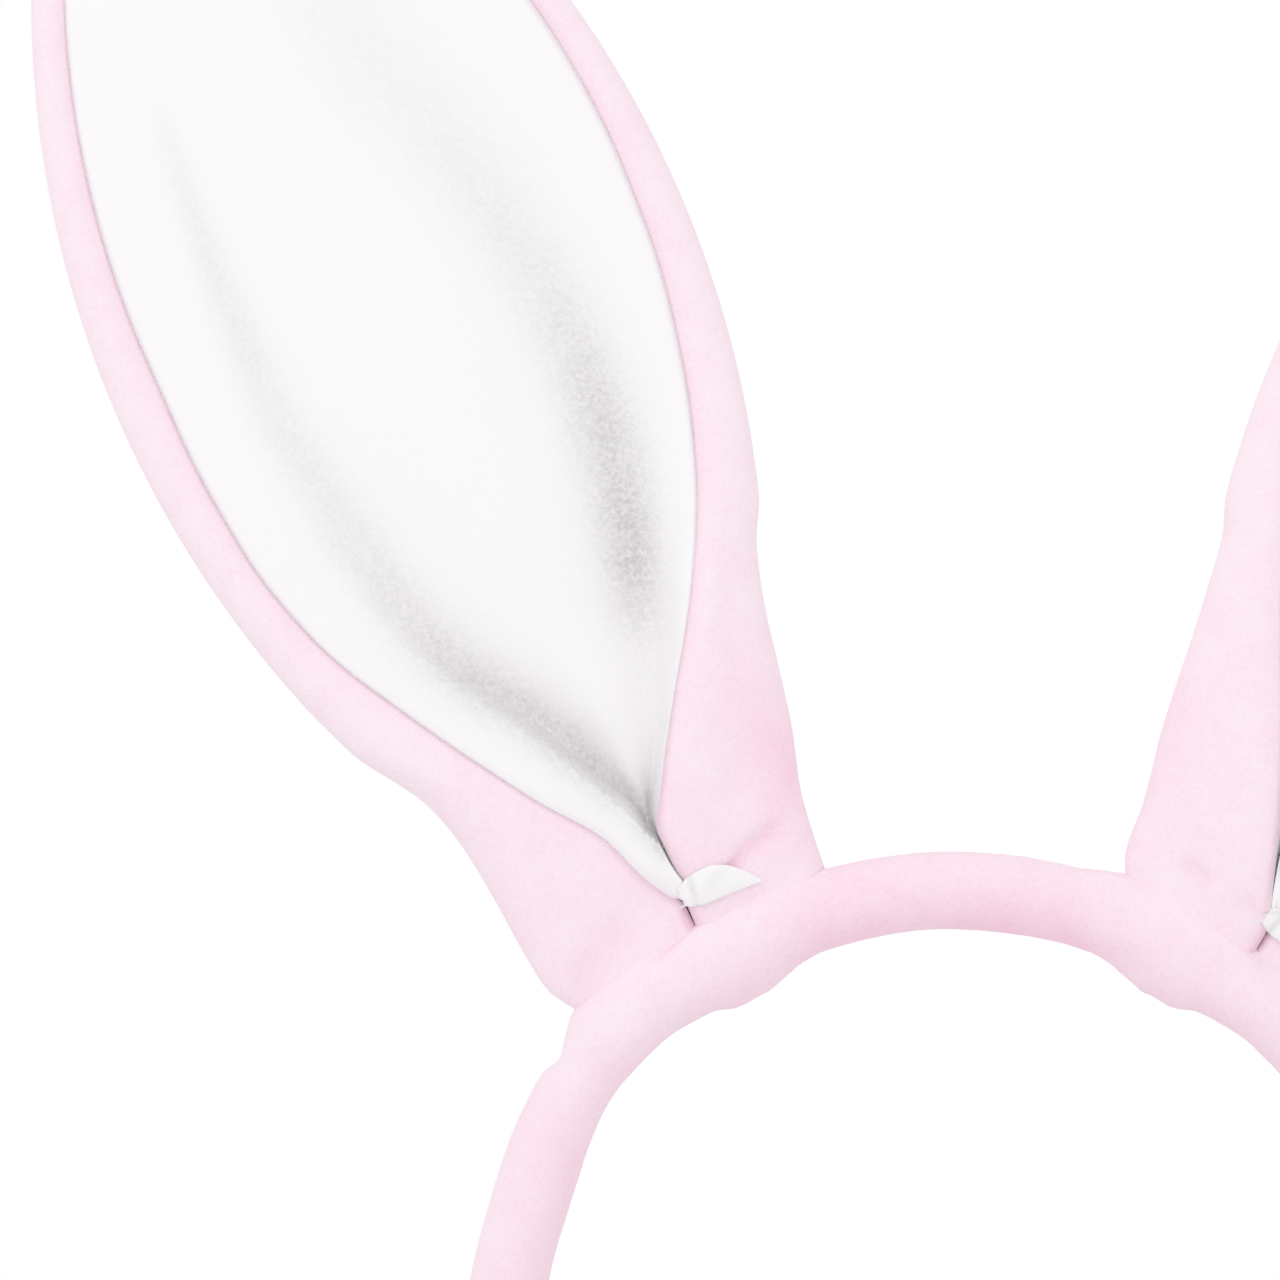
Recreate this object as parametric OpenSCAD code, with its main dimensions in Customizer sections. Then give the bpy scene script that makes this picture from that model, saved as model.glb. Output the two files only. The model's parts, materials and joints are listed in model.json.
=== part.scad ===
// Plush rabbit-ears headband: a padded, velour-covered spring band with two
// wired, lined ears that are wrapped round it and sewn on.
// Millimetres. X runs across the head, -Y is the front, +Z is up.
// The origin is where the inside of the band rests on top of the head.

/* [Band] */
// Inner radius of the arch over the head
band_inner_r = 60.8; // [50:0.2:72]
// Radius of the covered tube, to the outside of the velour
cover_r = 5.8; // [5:0.1:8]
// Thickness of the velour sleeve
cover_t = 1.0; // [0.6:0.1:1.4]
// Thickness of the springy core strip
core_t = 1.8; // [1:0.1:2.4]
// Width of the core strip, front to back
core_w = 7.0; // [5:0.2:7.6]

/* [Arms] */
// Angle from the crown at which the straighter arms begin, and flex
flex_a = 68; // [60:0.5:76]
// Radius of the straighter arm
arm_r = 100; // [75:1:150]
// Angle through which each arm turns
arm_sweep = 37; // [26:1:42]
// Bare length of cover beyond the end of the core strip
core_setback = 3; // [1:0.5:6]

/* [Ears] */
// Length of the ear's two side arcs, measured from the middle of the band
ear_len = 220; // [180:1:250]
// Half of the ear's greatest width
ear_half_w = 45; // [35:0.5:55]
// Radius that rounds the ear's tip
ear_tip_r = 8; // [7.5:0.5:12]
// Thickness of the stuffed ear
ear_t = 7.0; // [5:0.2:10]
// Thickness of the velour and lining panels
panel_t = 1.2; // [0.8:0.1:1.6]
// Angle from the crown at which each ear is sewn on
ear_a = 36; // [34:0.5:38]
// Outward lean of the left ear
left_lean = 24; // [15:1:34]
// Outward lean of the right ear
right_lean = 33; // [15:1:38]
// Half-width of the ear's foot on its outer side
foot_out = 19; // [16:0.5:22]
// Half-width of the ear's foot on its inner side
foot_in = 22; // [18:0.5:26]
// Height of the kink in the ear's outer edge, where its foot begins
kink_out = 42; // [36:1:50]
// Height of the kink in the ear's inner edge
kink_in = 60; // [52:1:70]
// Height at which the ear folds over when it is bent
bend_s = 104; // [85:1:130]

/* [Ear lining] */
// Height at which the white lining begins
lining_start = 20; // [16:1:30]
// How far the lining's own arcs end short of the ear's arcs
lining_top = 6; // [2:0.5:10]
// Width of the velour rim beside the lining, where the ear is widest
rim_w = 6.5; // [4:0.5:10]
// Radius that rounds the lining's tip
lining_tip_r = 4.5; // [3:0.5:6]

/* [Rolled edges] */
// How far the rolled edges at the foot of the ear stand forward
roll_r = 5; // [3:0.5:6]
// Height at which the rolled edges run out
roll_end = 52; // [46:1:60]

/* [Lining tab] */
// Length of the lining's turned-over tail, beside the pinch
tab_len = 11; // [7:0.5:14]
// Height of the tail
tab_h = 4.5; // [3:0.5:7]
// Thickness of the tail
tab_t = 1; // [0.6:0.1:1.2]
// How far above the wrap the tail sits
tab_lift = 2; // [1:0.5:4]

/* [Wire] */
// Diameter of the bendable wire in the ears
wire_d = 1.6; // [1:0.1:2]
// How far above the wrap the ear's wire begins
wire_lift = 4; // [2:0.5:8]
// Distance of the wire inside the ear's edge
wire_inset = 5; // [4:0.5:7]
// Half of the angle of band that the wire's sewn-in foot follows
wire_foot_a = 12; // [8:1:14]

/* [Sewing] */
// Thickness of the gathered fabric wrapped round the band under each ear
wrap_t = 2.2; // [2.2:0.1:3]
// Angle from the crown at which each wrap begins
wrap_start = 17; // [15:0.5:20]
// Angle from the crown at which each wrap ends
wrap_end = 55; // [52:0.5:56]
// Diameter of the sewing thread
thread_d = 0.5; // [0.3:0.1:0.7]
// Length of one stitch
stitch_len = 3.2; // [2:0.2:4]
// Spacing from one stitch to the next
stitch_step = 5.2; // [5:0.2:8]
// Angle left bare at each end of the row of stitches under a wrap
stitch_margin = 2; // [1:0.5:5]
// Number of stitches in the pinch at the foot of each ear
pinch_count = 3; // [1:1:5]
// Spacing of the pinch stitches
pinch_step = 1.5; // [1:0.1:2]

/* [Clearances] */
// Gap between layers that lie against each other
layer_gap = 0.05; // [0.02:0.01:0.1]
// Gap between pieces that move past each other
move_gap = 0.3; // [0.2:0.05:0.5]

/* [Hidden] */
$fn = 180;
thread_fn = 24;
band_r = band_inner_r + cover_r;
pad_r = cover_r - cover_t - layer_gap;
wrap_r = cover_r + layer_gap + wrap_t;
arm_start_a = flex_a + move_gap / band_r * 180 / PI;
arm_end_a = flex_a + arm_sweep;
arm_shift = arm_r - band_r;
core_end_a = arm_end_a - core_setback / arm_r * 180 / PI;
core_end_gap_a = layer_gap / arm_r * 180 / PI;
thread_r = thread_d / 2;
foot_r = band_r + cover_r + layer_gap + wrap_t / 2;
lining_half_w = ear_half_w - rim_w;
wire_start = wrap_r + wire_lift;
panel_y = ear_t / 2 - panel_t;
knuckle = ear_t / 2 + move_gap;
lining_end = ear_len - lining_top;
roll_start = wrap_r + 1;
tab_start = wrap_r + tab_lift;
tab_y = -ear_t / 2 - layer_gap;
far = 400;

velour = [0.99, 0.87, 0.93];
lining_white = [0.97, 0.97, 0.97];
thread_pink = [0.96, 0.78, 0.87];
steel = [0.62, 0.64, 0.67];
plastic = [0.86, 0.86, 0.88];
wadding_white = [0.94, 0.94, 0.92];

// ---------- band ----------

// Sweeps a profile along the arch; angles are from the crown, left is positive.
module along_arch(a1, a2) {
    translate([0, 0, -band_inner_r])
        rotate([90, 0, 0])
            rotate([0, 0, 90 + a1])
                rotate_extrude(angle = a2 - a1)
                    translate([band_r, 0])
                        children();
}

// Moves to the centre of the straighter arm's arc.
module at_arm_centre() {
    translate([arm_shift * sin(flex_a), 0, -band_inner_r - arm_shift * cos(flex_a)])
        children();
}

// Sweeps a profile along the arm.
module along_arm(a1, a2) {
    at_arm_centre()
        rotate([90, 0, 0])
            rotate([0, 0, 90 + a1])
                rotate_extrude(angle = a2 - a1)
                    translate([arm_r, 0])
                        children();
}

// Moves to a point on the arm's centreline, +Z outward from the arch.
module at_arm(a) {
    at_arm_centre()
        rotate([0, -a, 0])
            translate([0, 0, arm_r])
                children();
}

module core_profile(grow) {
    square([core_t + 2 * grow, core_w + 2 * grow], center = true);
}

module padding_profile() {
    difference() {
        circle(r = pad_r);
        core_profile(layer_gap);
    }
}

// The channel that a row of stitches is drawn down into, on a tube's head side.
module seam_channel(tube_r) {
    half = thread_r + layer_gap;
    translate([-tube_r - half, -half])
        square([thread_d + layer_gap + half, 2 * half]);
}

module cover_profile() {
    difference() {
        circle(r = cover_r);
        circle(r = cover_r - cover_t);
    }
}

module wrap_profile() {
    difference() {
        circle(r = wrap_r);
        circle(r = cover_r + layer_gap);
        seam_channel(wrap_r);
    }
}

// Closes the end of an arm's sleeve with a dome.
module arm_dome() {
    at_arm(arm_end_a)
        rotate([0, -90, 0])
            rotate_extrude()
                intersection() {
                    cover_profile();
                    square(2 * cover_r);
                }
}

module arm_core() {
    color(plastic) along_arm(arm_start_a, core_end_a) core_profile(0);
}

module arm_padding() {
    color(wadding_white) difference() {
        along_arm(arm_start_a, arm_end_a) circle(r = pad_r);
        along_arm(arm_start_a - core_end_gap_a, core_end_a + core_end_gap_a) core_profile(layer_gap);
    }
}

module arm_cover() {
    color(velour) difference() {
        union() {
            along_arm(arm_start_a, arm_end_a) cover_profile();
            arm_dome();
        }
        along_arm(arm_start_a - core_end_gap_a, core_end_a) seam_channel(cover_r);
    }
}

// A row of short thread lengths along the head side of a tube.
module arch_stitches(a1, a2, tube_r) {
    step_a = stitch_step / band_r * 180 / PI;
    len_a = stitch_len / band_r * 180 / PI;
    count = floor((a2 - a1) / step_a);
    first = (a1 + a2 - (count - 1) * step_a - len_a) / 2;
    for (i = [0:count - 1])
        along_arch(first + i * step_a, first + i * step_a + len_a)
            translate([thread_r - tube_r, 0])
                circle(r = thread_r, $fn = thread_fn);
}

module arm_seam_stitches() {
    step_a = stitch_step / arm_r * 180 / PI;
    len_a = stitch_len / arm_r * 180 / PI;
    count = floor(arm_sweep / step_a);
    color(thread_pink)
        for (i = [0:count - 1])
            along_arm(arm_start_a + i * step_a, arm_start_a + i * step_a + len_a)
                translate([thread_r - cover_r, 0])
                    circle(r = thread_r, $fn = thread_fn);
}

// The drawn-up ring of thread that closes the end of the sleeve.
module arm_end_gather() {
    ring_r = 3 * thread_d;
    reach = cover_r + thread_r + layer_gap;
    color(thread_pink)
        at_arm(arm_end_a)
            rotate([0, -90, 0])
                translate([0, 0, sqrt(reach * reach - ring_r * ring_r)])
                    rotate_extrude()
                        translate([ring_r, 0])
                            circle(r = thread_r, $fn = thread_fn);
}

module crown_core() {
    color(plastic) along_arch(-flex_a, flex_a) core_profile(0);
}

module crown_padding() {
    color(wadding_white) along_arch(-flex_a, flex_a) padding_profile();
}

module crown_cover() {
    color(velour) along_arch(-flex_a, flex_a) difference() {
        cover_profile();
        seam_channel(cover_r);
    }
}

module crown_seam_stitches() {
    color(thread_pink) arch_stitches(-wrap_start, wrap_start, cover_r);
}

module left_arm_core() { arm_core(); }
module left_arm_padding() { arm_padding(); }
module left_arm_cover() { arm_cover(); }
module left_arm_seam_stitches() { arm_seam_stitches(); }
module left_arm_end_gather() { arm_end_gather(); }
module right_arm_core() { mirror([1, 0, 0]) arm_core(); }
module right_arm_padding() { mirror([1, 0, 0]) arm_padding(); }
module right_arm_cover() { mirror([1, 0, 0]) arm_cover(); }
module right_arm_seam_stitches() { mirror([1, 0, 0]) arm_seam_stitches(); }
module right_arm_end_gather() { mirror([1, 0, 0]) arm_end_gather(); }

// ---------- what is sewn round the band under each ear ----------

module wire_foot_shape(d) {
    along_arch(ear_a - wire_foot_a, ear_a + wire_foot_a)
        translate([foot_r - band_r, 0])
            circle(d = d, $fn = 48);
}

module ear_wrap() {
    color(velour) difference() {
        along_arch(wrap_start, wrap_end) wrap_profile();
        wire_foot_shape(wire_d + 2 * layer_gap);
    }
}

module wrap_stitches() {
    color(thread_pink) arch_stitches(wrap_start + stitch_margin, wrap_end - stitch_margin, wrap_r);
}

module wire_foot() {
    color(steel) wire_foot_shape(wire_d);
}

module left_ear_wrap() { ear_wrap(); }
module left_wrap_stitches() { wrap_stitches(); }
module left_wire_foot() { wire_foot(); }
module right_ear_wrap() { mirror([1, 0, 0]) ear_wrap(); }
module right_wrap_stitches() { mirror([1, 0, 0]) wrap_stitches(); }
module right_wire_foot() { mirror([1, 0, 0]) wire_foot(); }

// ---------- ears ----------
// Each ear is drawn upright as the left one: X across it, Z up it, and its
// zero on the band's centreline. place_ear() then leans and seats it.

module place_ear(lean) {
    translate([-band_r * sin(ear_a), 0, band_r * cos(ear_a) - band_inner_r])
        rotate([0, -lean, 0])
            children();
}

// Radius of the arc that spans a chord with this half-width at its middle.
function arc_r(chord, half_w) = (chord * chord / 4 + half_w * half_w) / (2 * half_w);

// Half-width of the ear's two arcs at a height.
function ear_w(s) = sqrt(pow(arc_r(ear_len, ear_half_w), 2) - pow(s - ear_len / 2, 2))
    - arc_r(ear_len, ear_half_w) + ear_half_w;

// Height of the centre of the circle that rounds the tip inside both arcs.
function tip_s(chord, half_w, tip) = chord / 2
    + sqrt(pow(arc_r(chord, half_w) - tip, 2) - pow(arc_r(chord, half_w) - half_w, 2));

// Height at which the tip's circle meets the side arcs.
function meet_s(chord, half_w, tip) = chord / 2
    + (tip_s(chord, half_w, tip) - chord / 2) * arc_r(chord, half_w) / (arc_r(chord, half_w) - tip);

// Two arcs that meet in a point at the foot and a rounded tip.
module leaf(chord, half_w, tip, inset) {
    r = arc_r(chord, half_w);
    side = r - half_w;
    intersection() {
        translate([side, chord / 2]) circle(r = r - inset, $fn = 360);
        translate([-side, chord / 2]) circle(r = r - inset, $fn = 360);
        translate([-far, -far]) square([2 * far, far + meet_s(chord, half_w, tip)]);
    }
    translate([0, tip_s(chord, half_w, tip)]) circle(r = tip - inset);
}

// The wider foot below the kinks in the ear's edges.
module foot_plan(inset) {
    polygon([
        [-foot_out + inset, 0],
        [foot_in - inset, 0],
        [ear_w(kink_in) - inset, kink_in],
        [-ear_w(kink_out) + inset, kink_out]
    ]);
}

module ear_plan(inset) {
    leaf(ear_len, ear_half_w, ear_tip_r, inset);
    foot_plan(inset);
}

module lining_plan(grow) {
    translate([0, lining_start])
        leaf(lining_end - lining_start, lining_half_w, lining_tip_r, -grow);
}

// Keeps the part of a plan below or above the fold.
module below_fold() {
    intersection() {
        children();
        translate([-far, -far]) square([2 * far, far + bend_s - knuckle]);
    }
}

module above_fold() {
    intersection() {
        children();
        translate([-far, bend_s]) square([2 * far, far]);
    }
}

// A plan as a slab between two depths, front first.
module slab(y_front, y_back) {
    translate([0, y_back, 0])
        rotate([90, 0, 0])
            linear_extrude(height = y_back - y_front)
                children();
}

// The space round the band that the ear swings about, in the ear's own frame.
module band_space(lean) {
    rotate([0, lean - ear_a, 0])
        rotate([0, 90, 0])
            cylinder(r = wrap_r + move_gap, h = far, center = true);
}

// One rolled edge: a round bead in front of the rim, between two points.
module roll(x1, s1, x2, s2) {
    run = sqrt(pow(x2 - x1, 2) + pow(s2 - s1, 2));
    intersection() {
        translate([x1, -ear_t / 2, s1])
            rotate([0, atan2(x2 - x1, s2 - s1), 0])
                cylinder(r = roll_r, h = run);
        translate([-far, -far, -far]) cube([2 * far, far - ear_t / 2 + panel_t / 2, 2 * far]);
    }
}

module rolls() {
    roll(-foot_out + roll_r, roll_start, -ear_w(roll_end) + roll_r, roll_end);
    roll(foot_in - roll_r, roll_start, ear_w(roll_end) - roll_r, roll_end);
}

module rim_plan() {
    difference() {
        ear_plan(0);
        lining_plan(layer_gap);
    }
}

// The wire's loop: two long arcs that follow the ear's edge and a round tip.
module wire_loop(s_from, s_to, d) {
    r = arc_r(ear_len, ear_half_w);
    side = r - ear_half_w;
    a_from = asin((s_from - ear_len / 2) / (r - wire_inset));
    a_meet = asin((meet_s(ear_len, ear_half_w, ear_tip_r) - ear_len / 2) / r);
    a_to = min(asin((s_to - ear_len / 2) / (r - wire_inset)), a_meet);
    for (m = [0, 1])
        mirror([m, 0, 0])
            translate([-side, 0, ear_len / 2])
                rotate([90, 0, 0])
                    rotate([0, 0, a_from])
                        rotate_extrude(angle = a_to - a_from, $fn = 360)
                            translate([r - wire_inset, 0])
                                circle(d = d, $fn = 48);
}

module wire_tip(d) {
    r = arc_r(ear_len, ear_half_w);
    a = asin((meet_s(ear_len, ear_half_w, ear_tip_r) - ear_len / 2) / r);
    translate([0, 0, tip_s(ear_len, ear_half_w, ear_tip_r)])
        rotate([90, 0, 0])
            rotate([0, 0, a])
                rotate_extrude(angle = 180 - 2 * a)
                    translate([ear_tip_r - wire_inset, 0])
                        circle(d = d, $fn = 48);
}

// A bead just thicker than the wire, at each end of its tip arc, joins it to
// the side arcs.
module wire_joins(d) {
    bead = 1.04;
    r = arc_r(ear_len, ear_half_w);
    a = asin((meet_s(ear_len, ear_half_w, ear_tip_r) - ear_len / 2) / r);
    tip_arc_r = ear_tip_r - wire_inset;
    for (m = [0, 1])
        mirror([m, 0, 0])
            translate([0, 0, tip_s(ear_len, ear_half_w, ear_tip_r)])
                rotate([0, -a, 0])
                    translate([tip_arc_r, 0, 0])
                        sphere(d = d * bead, $fn = 48);
}

module lower_wire_shape(d) {
    wire_loop(wire_start, bend_s - knuckle, d);
}

module tip_wire_shape(d) {
    wire_loop(bend_s, meet_s(ear_len, ear_half_w, ear_tip_r), d);
    wire_tip(d);
    wire_joins(d);
}

module ear_back(lean) {
    color(velour) difference() {
        slab(panel_y, ear_t / 2) below_fold() ear_plan(0);
        band_space(lean);
    }
}

module ear_rim(lean) {
    color(velour) difference() {
        union() {
            slab(-ear_t / 2, -panel_y) below_fold() rim_plan();
            rolls();
        }
        band_space(lean);
    }
}

module ear_lining(lean) {
    color(lining_white) difference() {
        slab(-ear_t / 2, -panel_y) below_fold() lining_plan(0);
        band_space(lean);
    }
}

module ear_wadding(lean) {
    color(wadding_white) difference() {
        slab(-panel_y + layer_gap, panel_y - layer_gap) below_fold() ear_plan(panel_t);
        band_space(lean);
        lower_wire_shape(wire_d + 2 * layer_gap);
    }
}

module ear_wire() {
    color(steel) lower_wire_shape(wire_d);
}

// Length of the tail, which stops short of the rolled edge on its side.
function tab_run(side) = min(tab_len, (side > 0 ? foot_in : foot_out) - 2 * roll_r - layer_gap);

// The turned-over tail of the white lining, beside the pinch. It points
// towards the middle of the band where side is 1, and away where it is -1.
module lining_tab(lean, side) {
    color(lining_white) difference() {
        translate([min(0, side * tab_run(side)), tab_y - tab_t, tab_start])
            cube([tab_run(side), tab_t, tab_h]);
        band_space(lean);
    }
}

// Short upright stitches across the tail, centred in its height.
module pinch_stitches(side) {
    len = tab_h - pinch_step;
    thread_y = tab_y - tab_t - layer_gap - thread_r;
    color(thread_pink)
        for (i = [1:pinch_count])
            translate([side * i * pinch_step, thread_y, tab_start + (tab_h - len) / 2])
                cylinder(r = thread_r, h = len, $fn = thread_fn);
}

module tip_back() {
    color(velour) slab(panel_y, ear_t / 2) above_fold() ear_plan(0);
}

module tip_rim() {
    color(velour) slab(-ear_t / 2, -panel_y) above_fold() rim_plan();
}

module tip_lining() {
    color(lining_white) slab(-ear_t / 2, -panel_y) above_fold() lining_plan(0);
}

// The wadding of the tip ends in a round nose about the fold.
module tip_wadding() {
    color(wadding_white) difference() {
        union() {
            slab(-panel_y + layer_gap, panel_y - layer_gap) above_fold() ear_plan(panel_t);
            intersection() {
                translate([0, 0, bend_s])
                    rotate([0, 90, 0])
                        cylinder(d = ear_t, h = 2 * (ear_w(bend_s) - panel_t), center = true);
                translate([-far, -far, bend_s - far]) cube([2 * far, 2 * far, far]);
            }
        }
        tip_wire_shape(wire_d + 2 * layer_gap);
    }
}

module tip_wire() {
    color(steel) tip_wire_shape(wire_d);
}

module left_ear_back() { place_ear(left_lean) ear_back(left_lean); }
module left_ear_rim() { place_ear(left_lean) ear_rim(left_lean); }
module left_ear_lining() { place_ear(left_lean) ear_lining(left_lean); }
module left_ear_wadding() { place_ear(left_lean) ear_wadding(left_lean); }
module left_ear_wire() { place_ear(left_lean) ear_wire(); }
module left_lining_tab() { place_ear(left_lean) lining_tab(left_lean, 1); }
module left_pinch_stitches() { place_ear(left_lean) pinch_stitches(1); }
module left_tip_back() { place_ear(left_lean) tip_back(); }
module left_tip_rim() { place_ear(left_lean) tip_rim(); }
module left_tip_lining() { place_ear(left_lean) tip_lining(); }
module left_tip_wadding() { place_ear(left_lean) tip_wadding(); }
module left_tip_wire() { place_ear(left_lean) tip_wire(); }

module right_ear_back() { mirror([1, 0, 0]) place_ear(right_lean) ear_back(right_lean); }
module right_ear_rim() { mirror([1, 0, 0]) place_ear(right_lean) ear_rim(right_lean); }
module right_ear_lining() { mirror([1, 0, 0]) place_ear(right_lean) ear_lining(right_lean); }
module right_ear_wadding() { mirror([1, 0, 0]) place_ear(right_lean) ear_wadding(right_lean); }
module right_ear_wire() { mirror([1, 0, 0]) place_ear(right_lean) ear_wire(); }
module right_lining_tab() { mirror([1, 0, 0]) place_ear(right_lean) lining_tab(right_lean, -1); }
module right_pinch_stitches() { mirror([1, 0, 0]) place_ear(right_lean) pinch_stitches(-1); }
module right_tip_back() { mirror([1, 0, 0]) place_ear(right_lean) tip_back(); }
module right_tip_rim() { mirror([1, 0, 0]) place_ear(right_lean) tip_rim(); }
module right_tip_lining() { mirror([1, 0, 0]) place_ear(right_lean) tip_lining(); }
module right_tip_wadding() { mirror([1, 0, 0]) place_ear(right_lean) tip_wadding(); }
module right_tip_wire() { mirror([1, 0, 0]) place_ear(right_lean) tip_wire(); }

crown_core();
crown_padding();
crown_cover();
crown_seam_stitches();
left_arm_core();
left_arm_padding();
left_arm_cover();
left_arm_seam_stitches();
left_arm_end_gather();
right_arm_core();
right_arm_padding();
right_arm_cover();
right_arm_seam_stitches();
right_arm_end_gather();
left_ear_wrap();
left_wrap_stitches();
left_wire_foot();
right_ear_wrap();
right_wrap_stitches();
right_wire_foot();
left_ear_back();
left_ear_rim();
left_ear_lining();
left_ear_wadding();
left_ear_wire();
left_lining_tab();
left_pinch_stitches();
right_ear_back();
right_ear_rim();
right_ear_lining();
right_ear_wadding();
right_ear_wire();
right_lining_tab();
right_pinch_stitches();
left_tip_back();
left_tip_rim();
left_tip_lining();
left_tip_wadding();
left_tip_wire();
right_tip_back();
right_tip_rim();
right_tip_lining();
right_tip_wadding();
right_tip_wire();
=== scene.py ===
import json
import math

import bmesh
import bpy
import numpy as np
from bpy.props import FloatProperty, FloatVectorProperty, IntProperty, PointerProperty
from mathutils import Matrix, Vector, noise
from mathutils.bvhtree import BVHTree


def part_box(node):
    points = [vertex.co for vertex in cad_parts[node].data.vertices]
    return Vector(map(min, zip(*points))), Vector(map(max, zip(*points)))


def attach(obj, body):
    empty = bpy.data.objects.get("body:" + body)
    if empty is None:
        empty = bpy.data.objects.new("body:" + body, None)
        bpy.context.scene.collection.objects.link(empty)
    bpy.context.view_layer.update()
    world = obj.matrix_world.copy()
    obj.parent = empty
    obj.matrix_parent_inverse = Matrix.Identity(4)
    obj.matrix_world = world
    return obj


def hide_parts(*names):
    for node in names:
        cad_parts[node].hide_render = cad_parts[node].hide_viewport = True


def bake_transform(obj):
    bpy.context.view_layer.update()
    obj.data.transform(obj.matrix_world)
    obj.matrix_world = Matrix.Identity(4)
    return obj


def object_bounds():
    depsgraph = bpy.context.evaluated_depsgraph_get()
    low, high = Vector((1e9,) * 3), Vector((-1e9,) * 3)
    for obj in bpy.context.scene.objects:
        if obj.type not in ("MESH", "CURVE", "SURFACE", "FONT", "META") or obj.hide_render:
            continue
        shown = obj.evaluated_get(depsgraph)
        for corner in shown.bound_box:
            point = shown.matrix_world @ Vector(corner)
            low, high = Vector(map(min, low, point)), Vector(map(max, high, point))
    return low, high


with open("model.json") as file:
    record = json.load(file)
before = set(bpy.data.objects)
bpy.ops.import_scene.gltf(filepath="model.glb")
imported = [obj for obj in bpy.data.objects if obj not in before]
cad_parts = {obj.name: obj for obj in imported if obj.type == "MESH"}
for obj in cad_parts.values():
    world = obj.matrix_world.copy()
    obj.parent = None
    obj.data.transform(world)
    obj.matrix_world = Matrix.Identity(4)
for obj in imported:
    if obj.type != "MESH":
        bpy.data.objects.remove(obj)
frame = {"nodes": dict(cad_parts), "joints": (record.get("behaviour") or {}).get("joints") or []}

bl_info = {
    "name": "Plush Ears Headband",
    "version": (1, 0, 0),
    "blender": (4, 5, 0),
    "location": "3D View > Sidebar > Headband",
    "description": "Sews a plush ears headband round its packed frame",
    "category": "Object",
}

CAD_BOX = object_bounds()
JOINTS = {joint["name"]: joint for joint in frame["joints"]}
SIDES = ("left", "right")
SIGN = {"left": 1, "right": -1}
MM = 0.001
FRONT = Vector((0, -1, 0))


# ---------- places taken from the frame ----------

def joint_place(name):
    """Where a joint turns, in metres."""
    return Vector(JOINTS[name]["pos_m"])


def tube_radius():
    """Radius of the velour tube over the band."""
    low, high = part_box("crown_cover")
    return (high.y - low.y) / 2


TUBE_R = tube_radius()
FOOT = joint_place("left_ear_tilt")
DROP = FOOT.z - TUBE_R
BAND_R = -(DROP * DROP + FOOT.x * FOOT.x) / (2 * DROP)
BAND_Z = TUBE_R - BAND_R
FOOT_ANGLE = math.degrees(math.atan2(-FOOT.x, FOOT.z - BAND_Z))
FLEX = joint_place("left_arm_flex")
FLEX_ANGLE = math.degrees(math.atan2(-FLEX.x, FLEX.z - BAND_Z))
ARM_SHIFT = (-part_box("left_arm_cover")[0].x - BAND_R - TUBE_R) / (1 - math.sin(math.radians(FLEX_ANGLE)))
ARM_R = BAND_R + ARM_SHIFT


def arm_centre():
    """Centre of the left arm's straighter arc."""
    flex = math.radians(FLEX_ANGLE)
    return Vector((ARM_SHIFT * math.sin(flex), 0, BAND_Z - ARM_SHIFT * math.cos(flex)))


def arm_end_angle():
    """Angle at which the left arm's tube ends, taken from the gathered thread ring."""
    ring_low, ring_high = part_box("left_arm_end_gather")
    ring = (ring_low + ring_high) / 2
    to_ring = ring - arm_centre()
    along = math.degrees(math.atan2(-to_ring.x, to_ring.z))
    return along - math.degrees(TUBE_R / ARM_R)


def band_place(angle):
    """Centreline point, outward direction and direction of travel, at an angle from the crown.

    Left is positive.
    """
    side = 1 if angle >= 0 else -1
    turn = math.radians(abs(angle))
    out = Vector((-side * math.sin(turn), 0, math.cos(turn)))
    travel = Vector((-side * math.cos(turn), 0, -math.sin(turn)))
    if abs(angle) <= FLEX_ANGLE:
        return Vector((0, 0, BAND_Z)) + out * BAND_R, out, travel
    centre = arm_centre()
    centre.x *= side
    return centre + out * ARM_R, out, travel


class EarPlace:
    """The ear's own axes: s runs up the ear from the middle of the band, t across it, d forward."""

    def __init__(self, side):
        self.side = side
        self.base = joint_place(side + "_ear_tilt")
        self.fold = joint_place(side + "_ear_fold")
        self.up = (self.fold - self.base).normalized()
        self.across = Vector((self.up.z, 0, -self.up.x)) * SIGN[side]
        self.bend = (self.fold - self.base).length / MM
        self.lean = math.degrees(math.acos(self.up.z))

    def world(self, s, t, d):
        """Points in the row frame, in metres, from millimetres along the ear's axes."""
        s, t, d = np.broadcast_arrays(np.asarray(s, float), t, d)
        places = np.multiply.outer(s, np.array(self.up)) + np.multiply.outer(t, np.array(self.across))
        places = places + np.multiply.outer(d, np.array(FRONT))
        return places * MM + np.array(self.base)

    def measure(self, node):
        """The CAD node's corners, along s and t, in millimetres."""
        points = np.array([v.co for v in frame["nodes"][node].data.vertices], float)
        away = (points - np.array(self.base)) / MM
        return away @ np.array(self.up), away @ np.array(self.across)

    def tube_height(self, t, reach):
        """Height of a circle that stands outside the band's centreline by reach, over t."""
        tilt = math.radians(FOOT_ANGLE - self.lean)
        radius = BAND_R / MM
        centre_t = radius * math.sin(tilt)
        centre_s = -radius * math.cos(tilt)
        return centre_s + np.sqrt((radius + reach) ** 2 - (t - centre_t) ** 2)


# ---------- curves ----------

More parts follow.
